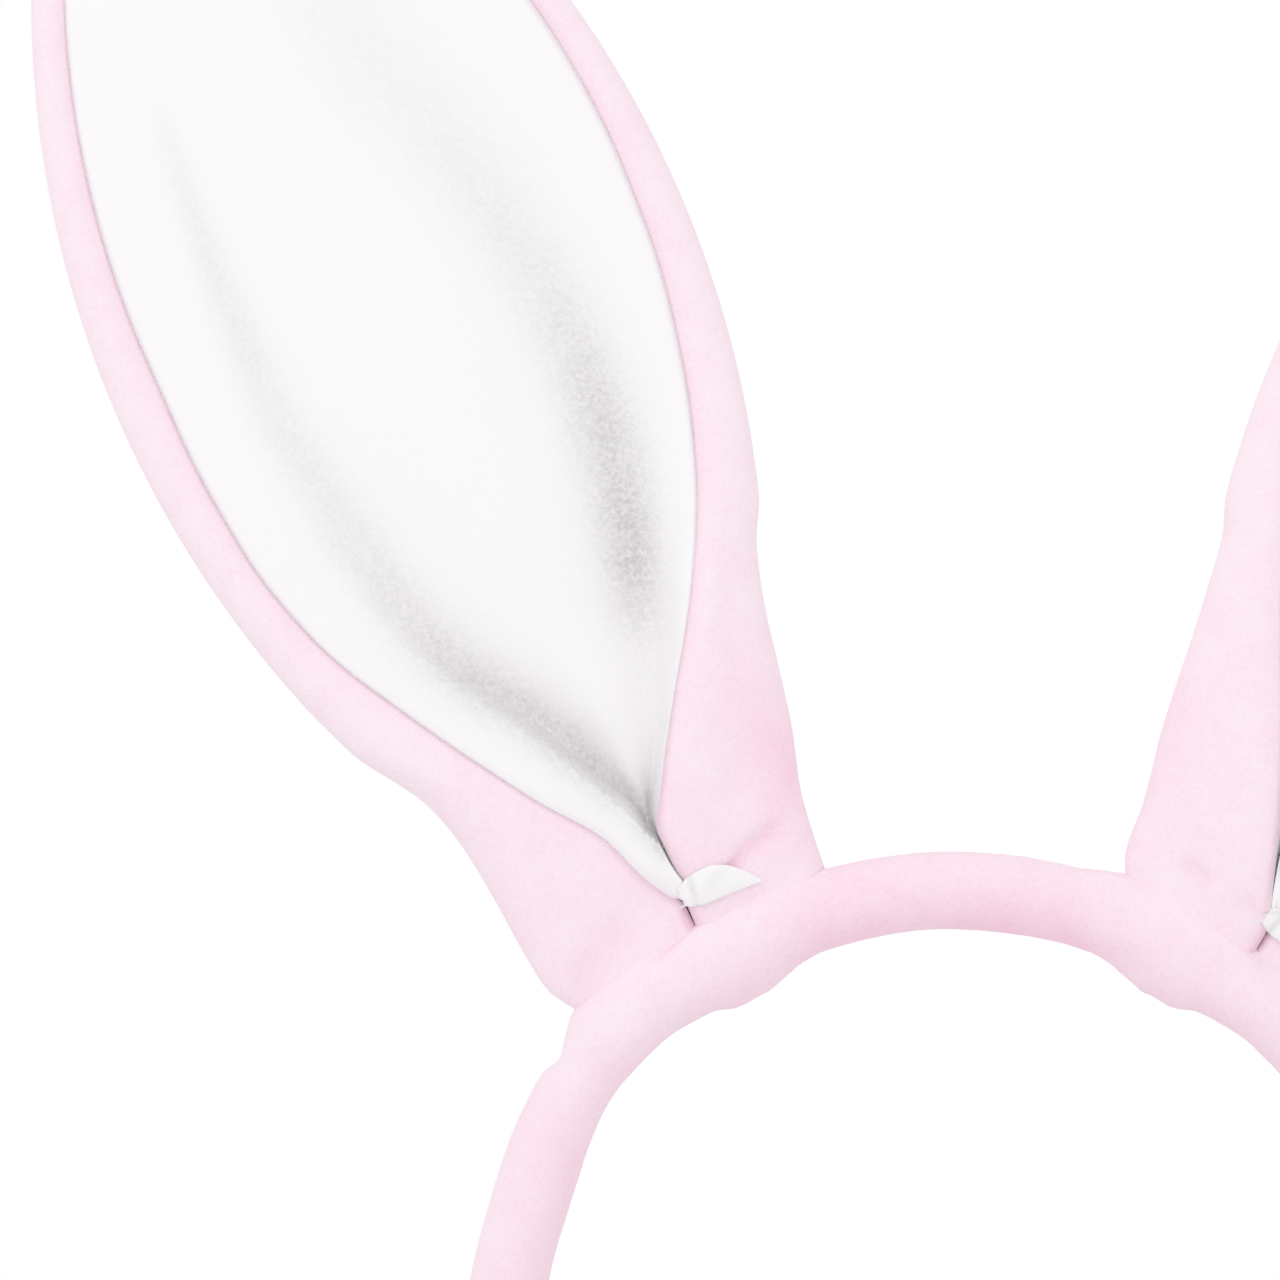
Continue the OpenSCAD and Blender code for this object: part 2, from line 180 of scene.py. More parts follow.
def curve(*points):
    """A smooth curve through (place, value) points that never overshoots them."""
    x = np.array([p[0] for p in points], float)
    y = np.array([p[1] for p in points], float)
    step, rise = np.diff(x), np.diff(y)
    slope = rise / step
    grade = np.zeros(len(x))
    grade[0], grade[-1] = slope[0], slope[-1]
    for i in range(1, len(x) - 1):
        if slope[i - 1] * slope[i] > 0:
            before = 2 * step[i] + step[i - 1]
            after = step[i] + 2 * step[i - 1]
            grade[i] = (before + after) / (before / slope[i - 1] + after / slope[i])

    def value(at):
        at = np.clip(np.asarray(at, float), x[0], x[-1])
        i = np.clip(np.searchsorted(x, at, side="right") - 1, 0, len(x) - 2)
        u = (at - x[i]) / step[i]
        start = (1 + 2 * u) * (1 - u) ** 2 * y[i] + u * (1 - u) ** 2 * step[i] * grade[i]
        end = u * u * (3 - 2 * u) * y[i + 1] - u * u * (1 - u) * step[i] * grade[i + 1]
        return start + end

    return value


def ease(x):
    """0 to 1 with a soft start and end."""
    x = np.clip(x, 0, 1)
    return x * x * (3 - 2 * x)


def hump(x, middle, width):
    """A soft hump of height 1."""
    return np.exp(-(((x - middle) / width) ** 2))


def leaf_half(s, start, end, half, tip):
    """Half-width of a leaf of two side arcs with a rounded tip, at height s."""
    chord, middle = end - start, (start + end) / 2
    radius = (chord * chord / 4 + half * half) / (2 * half)
    tip_centre = middle + math.sqrt((radius - tip) ** 2 - (radius - half) ** 2)
    meet = middle + (tip_centre - middle) * radius / (radius - tip)
    if s <= meet:
        return math.sqrt(radius * radius - (s - middle) ** 2) - radius + half
    return math.sqrt(max(tip * tip - (s - tip_centre) ** 2, 0))


def leaf_top(start, end, half, tip):
    """Height of the rounded tip."""
    chord, middle = end - start, (start + end) / 2
    radius = (chord * chord / 4 + half * half) / (2 * half)
    return middle + math.sqrt((radius - tip) ** 2 - (radius - half) ** 2) + tip


def leaf_end(top, start, half, tip):
    """Where the side arcs would meet in a point, for a leaf whose rounded tip is at top."""
    low, high = top, top + 4 * tip
    for _ in range(40):
        middle = (low + high) / 2
        if leaf_top(start, middle, half, tip) < top:
            low = middle
        else:
            high = middle
    return (low + high) / 2


# ---------- meshes ----------

def grid_faces(rows, columns, close=False, offset=0):
    """Quads over a grid of points, joined round if close."""
    faces = []
    for i in range(rows - 1):
        for j in range(columns if close else columns - 1):
            k = (j + 1) % columns
            low, high = offset + i * columns, offset + (i + 1) * columns
            faces.append((low + j, low + k, high + k, high + j))
    return faces


def make_piece(name, points, faces, finish, shade=None):
    """A smooth mesh object with one finish. shade is kept at each point for the finish to use."""
    mesh = bpy.data.meshes.new(name)
    mesh.from_pydata([tuple(p) for p in points], [], faces)
    if shade is not None:
        layer = mesh.attributes.new("shade", "FLOAT", "POINT")
        layer.data.foreach_set("value", np.asarray(shade, np.float32))
    mesh.materials.append(finish)
    mesh.validate()
    mesh.polygons.foreach_set("use_smooth", [True] * len(mesh.polygons))
    piece = bpy.data.objects.new(name, mesh)
    bpy.context.scene.collection.objects.link(piece)
    return piece


def weld(piece, distance=0.02 * MM):
    """Joins points that share a place, and turns every face outward."""
    work = bmesh.new()
    work.from_mesh(piece.data)
    bmesh.ops.remove_doubles(work, verts=work.verts, dist=distance)
    bmesh.ops.dissolve_degenerate(work, edges=work.edges, dist=distance / 4)
    bmesh.ops.recalc_face_normals(work, faces=work.faces)
    work.to_mesh(piece.data)
    work.free()


def thicken(piece, thickness):
    """Gives a sheet its thickness, inward from the visible side, as part of its own mesh."""
    solid = piece.modifiers.new("thickness", "SOLIDIFY")
    solid.thickness = thickness
    solid.offset = -1
    solid.use_even_offset = False
    bpy.context.view_layer.update()
    graph = bpy.context.evaluated_depsgraph_get()
    made = bpy.data.meshes.new_from_object(piece.evaluated_get(graph))
    piece.modifiers.clear()
    piece.data = made
    return piece


def sweep(path, radius, sides=8):
    """Points and faces of a round thread or wire along a path of points."""
    path = np.asarray(path, float)
    count = len(path)
    ahead = np.roll(path, -1, 0) - np.roll(path, 1, 0)
    ahead[0], ahead[-1] = path[1] - path[0], path[-1] - path[-2]
    ahead /= np.linalg.norm(ahead, axis=1)[:, None]
    aside = np.cross(ahead, (0.13, 0.97, 0.21))
    aside /= np.linalg.norm(aside, axis=1)[:, None]
    over = np.cross(ahead, aside)
    turn = np.linspace(0, 2 * math.pi, sides, endpoint=False)
    ring = np.cos(turn)[None, :, None] * aside[:, None] + np.sin(turn)[None, :, None] * over[:, None]
    points = (path[:, None] + radius * ring).reshape(-1, 3)
    faces = grid_faces(count, sides, close=True)
    faces.append(tuple(reversed(range(sides))))
    faces.append(tuple(range((count - 1) * sides, count * sides)))
    return points, faces


def join_parts(parts):
    """Points and faces of several parts as one list."""
    points, faces = [], []
    for part_points, part_faces in parts:
        offset = len(points)
        points.extend(part_points)
        faces.extend([tuple(offset + i for i in face) for face in part_faces])
    return points, faces


# ---------- finishes ----------

FINISHES = {}


def kept_finish(make):
    """Makes a finish once, and gives the same material each time after that."""
    def give():
        if make.__name__ not in FINISHES:
            FINISHES[make.__name__] = make()
        return FINISHES[make.__name__]
    give.__doc__ = make.__doc__
    return give


class Finish:
    """A node material with one principled shader, and short ways to add its nodes."""

    def __init__(self, name):
        self.material = bpy.data.materials.new(name)
        self.material.use_nodes = True
        self.tree = self.material.node_tree
        self.tree.nodes.clear()
        self.output = self.add("ShaderNodeOutputMaterial")
        self.shader = self.add("ShaderNodeBsdfPrincipled")
        self.link(self.shader.outputs[0], self.output.inputs["Surface"])
        self.place = self.add("ShaderNodeTexCoord").outputs["Object"]

    def add(self, kind):
        return self.tree.nodes.new(kind)

    def link(self, source, target):
        self.tree.links.new(source, target)

    def plain(self, **values):
        """Sets the shader's own sockets."""
        for name, value in values.items():
            self.shader.inputs[name.replace("_", " ")].default_value = value

    def grain(self, scale, detail=2.0, roughness=0.5, stretch=None):
        """Noise of about 1 / scale metres across."""
        node = self.add("ShaderNodeTexNoise")
        node.inputs["Scale"].default_value = scale
        node.inputs["Detail"].default_value = detail
        node.inputs["Roughness"].default_value = roughness
        source = self.place
        if stretch:
            mapping = self.add("ShaderNodeMapping")
            mapping.inputs["Scale"].default_value = stretch
            self.link(source, mapping.inputs["Vector"])
            source = mapping.outputs[0]
        self.link(source, node.inputs["Vector"])
        return node.outputs["Fac"]

    def kept(self, name):
        """A value kept at each point of the mesh."""
        node = self.add("ShaderNodeAttribute")
        node.attribute_name = name
        return node.outputs["Fac"]

    def span(self, source, from_low, from_high, to_low, to_high):
        """Maps a range of values to another one."""
        node = self.add("ShaderNodeMapRange")
        values = {"From Min": from_low, "From Max": from_high, "To Min": to_low, "To Max": to_high}
        for socket, value in values.items():
            node.inputs[socket].default_value = value
        self.link(source, node.inputs["Value"])
        return node.outputs[0]

    def sum(self, first, second, operation="ADD"):
        """Two values added, up to 1, or put together by another operation."""
        node = self.add("ShaderNodeMath")
        node.operation = operation
        node.use_clamp = operation == "ADD"
        self.link(first, node.inputs[0])
        self.link(second, node.inputs[1])
        return node.outputs[0]

    def blend(self, factor, first, second):
        """One colour passing into another."""
        node = self.add("ShaderNodeMix")
        node.data_type = "RGBA"
        self.link(factor, node.inputs["Factor"])
        node.inputs[6].default_value = (*first[:3], 1)
        node.inputs[7].default_value = (*second[:3], 1)
        return node.outputs[2]

    def colour(self, source):
        self.link(source, self.shader.inputs["Base Color"])

    def roughness(self, source):
        self.link(source, self.shader.inputs["Roughness"])

    def raised(self, *layers):
        """Surface relief: each layer is (height source, depth in metres)."""
        normal = None
        for height, depth in layers:
            node = self.add("ShaderNodeBump")
            node.inputs["Strength"].default_value = 1.0
            node.inputs["Distance"].default_value = depth
            self.link(height, node.inputs["Height"])
            if normal is not None:
                self.link(normal, node.inputs["Normal"])
            normal = node.outputs[0]
        self.link(normal, self.shader.inputs["Normal"])


@kept_finish
def velour():
    """Short-piled pink velour: deeper where the pile is pressed or turned down, paler where it stands."""
    colours = bpy.context.scene.headband_colours
    made = Finish("piled_velour")
    mottle = made.span(made.grain(170, 3.0, 0.6), 0.3, 0.7, -0.10, 0.10)
    pile = made.span(made.grain(1500, 2.0, 0.6), 0.35, 0.7, -0.10, 0.12)
    specks = made.span(made.grain(800, 3.0, 0.7), 0.56, 0.70, 0.0, 1.0)
    # The kept shade is painted shade: deeper pink under the tubes, in folds and creases, beside the ears'
    # seams and on the crown. The specks show only where it is deep.
    painted_shade = made.kept("shade")
    flecked = made.sum(specks, made.span(painted_shade, 0.35, 0.8, 0.0, 0.22), "MULTIPLY")
    factor = made.sum(made.sum(made.sum(painted_shade, mottle), pile), flecked)
    made.colour(made.blend(factor, colours.velour_light, colours.velour_painted_shade))
    made.roughness(made.span(made.grain(600), 0.3, 0.7, 0.82, 0.98))
    made.raised((made.grain(260, 3.0, 0.6), 0.10 * MM), (made.grain(2600, 2.0, 0.6), 0.09 * MM))
    made.plain(Specular_IOR_Level=0.12, Sheen_Weight=0.25, Sheen_Roughness=0.45)
    made.plain(Sheen_Tint=(*colours.sheen, 1))
    return made.material


@kept_finish
def lining_cloth():
    """Soft white brushed cloth, shaded grey down its valleys."""
    colours = bpy.context.scene.headband_colours
    made = Finish("brushed_lining")
    # Painted shade: the kept shade greys the lining's valleys, broken up by speckle and soft noise.
    shade_speckle = made.span(made.grain(1300, 3.0, 0.7), 0.35, 0.7, 0.55, 1.35)
    soft = made.span(made.grain(140, 3.0, 0.55), 0.3, 0.7, 0.88, 1.12)
    shade = made.sum(made.sum(made.kept("shade"), shade_speckle, "MULTIPLY"), soft, "MULTIPLY")
    flecks = made.span(made.grain(1700, 2.0, 0.6), 0.72, 0.80, 0.0, 0.10)
    factor = made.sum(shade, flecks)
    made.colour(made.blend(factor, colours.lining, colours.lining_shade))
    made.roughness(made.span(made.grain(700), 0.3, 0.7, 0.86, 1.0))
    made.raised((made.grain(240, 3.0, 0.6), 0.07 * MM), (made.grain(2200, 2.0, 0.6), 0.06 * MM))
    made.plain(Specular_IOR_Level=0.10, Sheen_Weight=0.10, Sheen_Roughness=0.5)
    return made.material


@kept_finish
def thread():
    """Twisted sewing thread."""
    colours = bpy.context.scene.headband_colours
    made = Finish("twisted_thread")
    twist = made.grain(1800, 1.0, 0.4, stretch=(1.0, 0.35, 1.0))
    # The twist noise mixes in painted shade between the plies.
    made.colour(made.blend(made.span(twist, 0.35, 0.65, 0.0, 1.0), colours.thread, colours.thread_ply_shade))
    made.roughness(made.span(twist, 0.3, 0.7, 0.5, 0.75))
    made.raised((twist, 0.06 * MM))
    made.plain(Specular_IOR_Level=0.3, Sheen_Weight=0.2)
    return made.material


@kept_finish
def white_thread():
    """The finer white thread of the pinches."""
    colours = bpy.context.scene.headband_colours
    made = Finish("white_thread")
    twist = made.grain(2200, 1.0, 0.4, stretch=(1.0, 0.35, 1.0))
    # The twist noise mixes in the lining's painted shade grey between the plies.
    made.colour(made.blend(made.span(twist, 0.35, 0.65, 0.0, 0.35), colours.lining, colours.lining_shade))
    made.roughness(made.span(twist, 0.3, 0.7, 0.6, 0.8))
    made.raised((twist, 0.05 * MM))
    made.plain(Specular_IOR_Level=0.25, Sheen_Weight=0.15)
    return made.material


@kept_finish
def wadding_fluff():
    """Fibrous white stuffing."""
    colours = bpy.context.scene.headband_colours
    made = Finish("fibre_wadding")
    fibres = made.grain(500, 6.0, 0.75, stretch=(1.0, 2.0, 0.4))
    made.colour(made.blend(made.span(fibres, 0.3, 0.7, 0.0, 1.0), colours.wadding, colours.wadding_shade))
    made.roughness(made.span(fibres, 0.3, 0.7, 0.9, 1.0))
    made.raised((fibres, 0.5 * MM), (made.grain(1900), 0.1 * MM))
    made.plain(Specular_IOR_Level=0.05, Sheen_Weight=0.3)
    return made.material


@kept_finish
def moulded_plastic():
    """Milky springy plastic of the core strip, with fine drawing lines and scuffs."""
    colours = bpy.context.scene.headband_colours
    made = Finish("milky_plastic")
    lines = made.grain(900, 2.0, 0.5, stretch=(0.15, 1.0, 0.15))
    scuffs = made.span(made.grain(350, 5.0, 0.7), 0.55, 0.7, 0.0, 0.6)
    made.colour(made.blend(scuffs, colours.plastic, colours.plastic_worn))
    made.roughness(made.span(lines, 0.3, 0.7, 0.32, 0.5))
    made.raised((lines, 0.02 * MM))
    made.plain(Specular_IOR_Level=0.5, Subsurface_Weight=0.1)
    return made.material


@kept_finish
def drawn_steel():
    """Galvanised wire with drawing marks and dull patches."""
    colours = bpy.context.scene.headband_colours
    made = Finish("drawn_steel")
    marks = made.grain(2500, 2.0, 0.5, stretch=(1.0, 1.0, 0.1))
    patches = made.span(made.grain(300, 4.0, 0.6), 0.4, 0.65, 0.0, 1.0)
    made.colour(made.blend(patches, colours.steel, colours.steel_dull))
    made.roughness(made.span(marks, 0.3, 0.7, 0.28, 0.45))
    made.raised((marks, 0.02 * MM))
    made.plain(Metallic=1.0)
    return made.material


def studio_paper():
    """Matt pale paper for the floor."""
    colours = bpy.context.scene.headband_colours
    made = Finish("studio_paper")
    fibres = made.grain(220, 5.0, 0.6)
    deeper = [0.97 * part for part in colours.floor]
    made.colour(made.blend(made.span(fibres, 0.3, 0.7, 0.0, 1.0), colours.floor, deeper))
    made.roughness(made.span(fibres, 0.3, 0.7, 0.85, 0.95))
    made.raised((fibres, 0.05 * MM))
    made.plain(Specular_IOR_Level=0.15)
    return made.material


# ---------- what a user would change ----------

def size_property(name, description, default, low, high):
    """A length in millimetres, kept in metres."""
    return FloatProperty(
        name=name, description=description, default=default * MM, min=low * MM, max=high * MM,
        subtype="DISTANCE")


class HeadbandSizes(bpy.types.PropertyGroup):
    """Sizes of the fabric pieces."""

    cover_thickness: size_property("Sleeve Thickness", "Thickness of the velour sleeve", 0.9, 0.4, 1.2)
    shell_thickness: size_property(
        "Ear Velour Thickness", "Thickness of the velour of the ears", 0.9, 0.4, 1.2)
    lining_thickness: size_property("Lining Thickness", "Thickness of the white lining", 0.7, 0.3, 1)
    ear_half_depth: size_property("Ear Half Depth", "Half of the stuffed ear's thickness", 3.4, 2, 5)
    lip_height: size_property(
        "Lip Height", "How far the rolled lips stand forward at the foot", 7.6, 4, 10)
    wire_diameter: size_property(
        "Wire Diameter", "Diameter of the bendable wire in the ears", 1.6, 0.8, 2)
    thread_diameter: size_property("Thread Diameter", "Diameter of the sewing thread", 0.5, 0.2, 0.8)
    puckers: IntProperty(
        name="End Puckers", description="Puckers where each sleeve end is drawn up",
        default=11, min=5, max=24)
    ear_fill: FloatProperty(
        name="Ear Fill", description="How full the ears are stuffed",
        default=0.5, min=0, max=1, subtype="FACTOR")


def colour_property(name, description, default):
    return FloatVectorProperty(
        name=name, description=description, default=default, size=3, min=0, max=1, subtype="COLOR")


class HeadbandColours(bpy.types.PropertyGroup):
    """Colours of the fabrics and fittings."""

    # Velour Light is the lit pink, paled by a painted sheen; Velour Deep is the pink of painted shade.
    velour_light: colour_property("Velour Light", "Standing pile", (0.975, 0.835, 0.905))
    velour_painted_shade: colour_property("Velour Deep", "Pressed pile", (0.960, 0.600, 0.760))
    sheen: colour_property("Pile Sheen", "Glow along the velour's edges", (1.0, 0.90, 0.95))
    lining: colour_property("Lining", "White lining cloth", (0.945, 0.930, 0.938))
    # Lining Shade is the grey of the painted shade in the lining's valleys and between the white thread's
    # plies.
    lining_shade: colour_property("Lining Shade", "Grey down the lining's valleys", (0.44, 0.42, 0.41))
    thread: colour_property("Thread", "Sewing thread", (0.94, 0.66, 0.79))
    # Thread Deep is painted shade between the thread's plies.
    thread_ply_shade: colour_property("Thread Deep", "Between the thread's plies", (0.80, 0.42, 0.58))
    wadding: colour_property("Wadding", "Stuffing", (0.88, 0.88, 0.86))
    wadding_shade: colour_property("Wadding Shade", "Stuffing's hollows", (0.66, 0.66, 0.64))
    plastic: colour_property("Core Plastic", "Core strip", (0.80, 0.80, 0.82))
    plastic_worn: colour_property("Core Plastic Worn", "Scuffs on the core strip", (0.62, 0.62, 0.64))
    steel: colour_property("Wire Steel", "Bright wire", (0.62, 0.64, 0.67))
    steel_dull: colour_property("Wire Steel Dull", "Dull patches on the wire", (0.42, 0.43, 0.44))
    floor: colour_property("Floor", "Studio floor", (0.90, 0.90, 0.90))


# ---------- band ----------

# How the tube leaves the arch's line just beyond each ear, and narrows, in mm over degrees.
TUBE_SHIFT = curve((38, 0), (47, 0.9), (57, 1.25), (64, 0.7), (72, 0))
TUBE_SLIM = curve((34, 0), (40, 0.55), (48, 0.75), (56, 0.45), (66, 0))
NOTCH_ANGLE = 55.2
SEAM_BREAK = 60
SLEEVE_JOIN = 35
FLEX_FROM, FLEX_TO = 60, 78


def tube_point(angle, round_angle, radius, bulge=0.0):
    """A point on a tube round the band. The round angle runs from the outside of the arch over the front."""
    centre, out, _ = band_place(angle)
    shift = TUBE_SHIFT(abs(angle)) * MM
    return (centre + out * (shift + (radius + bulge) * math.cos(round_angle))
            + FRONT * ((radius + bulge) * math.sin(round_angle)))


def down_turned(angle, round_angle):
    """0 on the side of the band's tube that faces up and out, 1 on the side that faces the head."""
    return 0.5 - 0.5 * math.cos(round_angle) * math.cos(math.radians(angle) * 0.6)


def sleeve_place(angle, turn, inset=0.0, lift=0.0):
    """A point on the velour sleeve, with its seam's channel and the notch beyond each ear."""
    radius = TUBE_R - TUBE_SLIM(abs(angle)) * MM
    flat = tube_point(angle, turn, radius)
    seam = math.remainder(turn - math.pi, 2 * math.pi)
    channel = -0.45 * math.exp(-(seam / 0.055) ** 2) + 0.14 * math.exp(-((abs(seam) - 0.17) / 0.09) ** 2)
    notch = 0.85 * math.exp(-((abs(angle) - NOTCH_ANGLE) / 1.5) ** 2) * max(math.cos(turn), 0) ** 2
    ripple = 0.16 * noise.noise(flat * 90) + 0.05 * noise.noise(flat * 420)
    return tube_point(angle, turn, radius, (channel - notch + ripple + lift) * MM - inset)


def sleeve_parts(start, end, inset, domed):
    """Points, faces and shade of a length of sleeve. A domed one closes at its end."""
    sizes = bpy.context.scene.headband_sizes
    round_count = 64
    turns = [2 * math.pi * j / round_count for j in range(round_count)]
    count = max(8, int(abs(end - start) / 0.75))
    points, shades = [], []
    for i in range(count + 1):
        angle = start + (end - start) * i / count
        # Painted shade: the pink is deeper on the crown than on the arms, and deeper on the tube's side that
        # faces the head.
        painted_shade = 0.26 - 0.22 * float(ease((abs(angle) - 12) / 35))
        for turn in turns:
            place = sleeve_place(angle, turn, inset)
            points.append(place)
            shades.append(painted_shade + 0.42 * down_turned(angle, turn) + 0.09 * noise.noise(place * 60))
    if domed:
        centre, out, travel = band_place(end)
        dome_rings = 14
        tube, mouth = TUBE_R - inset, 1.2 * MM
        for i in range(1, dome_rings + 1):
            lift = i / dome_rings * math.pi / 2
            radius = (tube * math.cos(lift) * 0.88 + mouth * (1 - math.cos(lift))
                      + tube * 0.12 * math.cos(lift) ** 0.5)
            reach = tube * math.sin(lift)
            if i == dome_rings:
                reach -= 0.9 * MM
                radius = mouth * 0.5
            for turn in turns:
                wave = math.cos(sizes.puckers * turn)
                pucker = 0.35 * MM * wave * math.sin(lift) ** 1.5 * math.cos(lift) ** 0.4
                points.append(centre + travel * reach
                              + (out * math.cos(turn) + FRONT * math.sin(turn)) * (radius + pucker))
                # Painted shade: deeper towards the drawn-up end and in the hollows between its puckers.
                shades.append(0.3 + 0.35 * math.sin(lift) - 0.25 * wave * math.sin(lift))
    rows = len(points) // round_count
    faces = grid_faces(rows, round_count, close=True)
    if domed:
        faces.append(tuple(range((rows - 1) * round_count, rows * round_count)))
    return points, faces, shades


def tube_piece(name, start, end, inset, wall, finish, domed=False):
    """A length of sleeve or padding, with the thickness of its wall."""
    points, faces, shades = sleeve_parts(start, end, inset, domed)
    piece = make_piece(name, points, faces, finish, shades)
    weld(piece)
    return thicken(piece, wall)


def blend_arm(piece, side):
    """Lets a sleeve or padding bend from the crown to an arm."""
    start, _, _ = band_place(SIGN[side] * FLEX_FROM)
    end, _, _ = band_place(SIGN[side] * FLEX_TO)
    tuple(start)
    tuple(end)
    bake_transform(piece)


def sew_row(name, place, first, last, radius):
    """A row of running stitches from one angle to another, whose ends dive into the cloth."""
    length, step = 2.6, 4.4
    count = max(1, int((abs(last - first) - length) / step) + 1)
    turn = 1 if last > first else -1
    slack = abs(last - first) - length - (count - 1) * step
    parts = []
    for i in range(count):
        start = first + turn * (slack / 2 + i * step)
        path = [
            place(start + turn * length * k / 8, 0.2 - 0.5 * (k / 4 - 1) ** 4)
            for k in range(9)]
        parts.append(sweep(path, radius))
    points, faces = join_parts(parts)
    stitches = make_piece(name, points, faces, thread())
    weld(stitches, 0.001 * MM)
    return stitches


class HEADBAND_OT_sleeve(bpy.types.Operator):
    """Sews the velour sleeve over the band, in three lengths that meet under the ears"""

    bl_idname = "headband.sleeve"
    bl_label = "Band Sleeve"

    def execute(self, context):
        sizes = context.scene.headband_sizes
        wall = sizes.cover_thickness
        crown = tube_piece("crown_sleeve", -SLEEVE_JOIN, SLEEVE_JOIN, 0, wall, velour())
        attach(crown, "crown")
        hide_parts("crown_cover")
        for side in SIDES:
            start, end = SIGN[side] * (SLEEVE_JOIN - 1), SIGN[side] * arm_end_angle()
            sleeve = tube_piece(side + "_arm_sleeve", start, end, 0, wall, velour(), domed=True)
            blend_arm(sleeve, side)
            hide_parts(side + "_arm_cover")
        return {"FINISHED"}


class HEADBAND_OT_seams(bpy.types.Operator):
    """Sews the sleeve's seam, on the side of the band that faces the head"""

    bl_idname = "headband.seams"
    bl_label = "Band Seams"

    def execute(self, context):
        radius = context.scene.headband_sizes.thread_diameter / 2

        def place(angle, lift):
            return sleeve_place(angle, math.pi, 0.0, lift)

        crown = sew_row("crown_seam_sewing", place, -SEAM_BREAK, SEAM_BREAK, radius)
        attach(crown, "crown")
        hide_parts("crown_seam_stitches")
        for side in SIDES:
            start, end = SIGN[side] * (SEAM_BREAK + 1), SIGN[side] * (arm_end_angle() - 3)
            seam = sew_row(side + "_arm_seam_sewing", place, start, end, radius)
            blend_arm(seam, side)
            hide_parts(side + "_arm_seam_stitches")
        return {"FINISHED"}


class HEADBAND_OT_band_padding(bpy.types.Operator):
    """Fills the sleeve with padding round the core strip"""

    bl_idname = "headband.band_padding"
    bl_label = "Band Padding"

    def execute(self, context):
        sizes = context.scene.headband_sizes
        inset = sizes.cover_thickness + 0.15 * MM
        wall = 0.9 * MM
        crown = tube_piece("crown_band_padding", -SLEEVE_JOIN, SLEEVE_JOIN, inset, wall, wadding_fluff())
        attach(crown, "crown")
        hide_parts("crown_padding")
        for side in SIDES:
            start, end = SIGN[side] * SLEEVE_JOIN, SIGN[side] * arm_end_angle()
            padding = tube_piece(
                side + "_arm_band_padding", start, end, inset, wall, wadding_fluff(), domed=True)
            blend_arm(padding, side)
            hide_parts(side + "_arm_padding")
        return {"FINISHED"}


# ---------- the gathered fabric round the band under each ear ----------

# Its radius on the outside, front, head side and back of the band, in mm over degrees from the crown.
WRAP_START, WRAP_END = 13.5, 57
WRAP_OUT = curve(
    (13.5, 5.3), (16, 6.1), (20, 7.0), (26, 8.0), (38, 8.3), (46, 8.0),
    (50, 7.3), (52.5, 5.9), (55, 4.6), (57, 4.3))
WRAP_FRONT = curve(
    (13.5, 5.3), (17, 6.0), (22, 6.7), (30, 7.6), (42, 7.7), (50, 6.7), (54, 5.5), (57, 4.9))
WRAP_IN = curve(
    (13.5, 5.2), (18.8, 5.75), (22.4, 6.35), (26.4, 7.6), (29, 8.0), (31.5, 8.0),
    (33.7, 7.6), (36.8, 6.1), (39.6, 5.6), (43.3, 5.35), (50, 5.35), (57, 4.9))


def wrap_radius(angle, turn):
    """Radius of the wrap, in mm, at an angle along the band and one round it."""
    over, aside = math.cos(turn), math.sin(turn)
    side = WRAP_FRONT(angle) * aside * aside
    if over > 0:
        return float(WRAP_OUT(angle) * over * over + side)
    return float(WRAP_IN(angle) * over * over + side)


def wrap_folds(angle, turn, side):
    """Height of the soft folds in the wrap, in mm."""
    depth = 1 if side == "left" else 0.6
    dart_turn = 0.58 + (angle - 33) * 0.035
    dart = -0.80 * math.exp(-(((turn - dart_turn) * 7.5) / 1.1) ** 2) * float(hump(angle, 35.5, 4.0))
    beside = 0.35 * math.exp(-(((turn - dart_turn - 0.30) * 7.5) / 1.3) ** 2) * float(hump(angle, 37, 4.5))
    gathers = 0.06 * math.cos((angle - 20) * 0.95 + 1.3 * math.cos(turn)) * max(-math.cos(turn), 0) ** 0.7
    return depth * (dart + beside) + gathers * float(hump(angle, 33, 14))


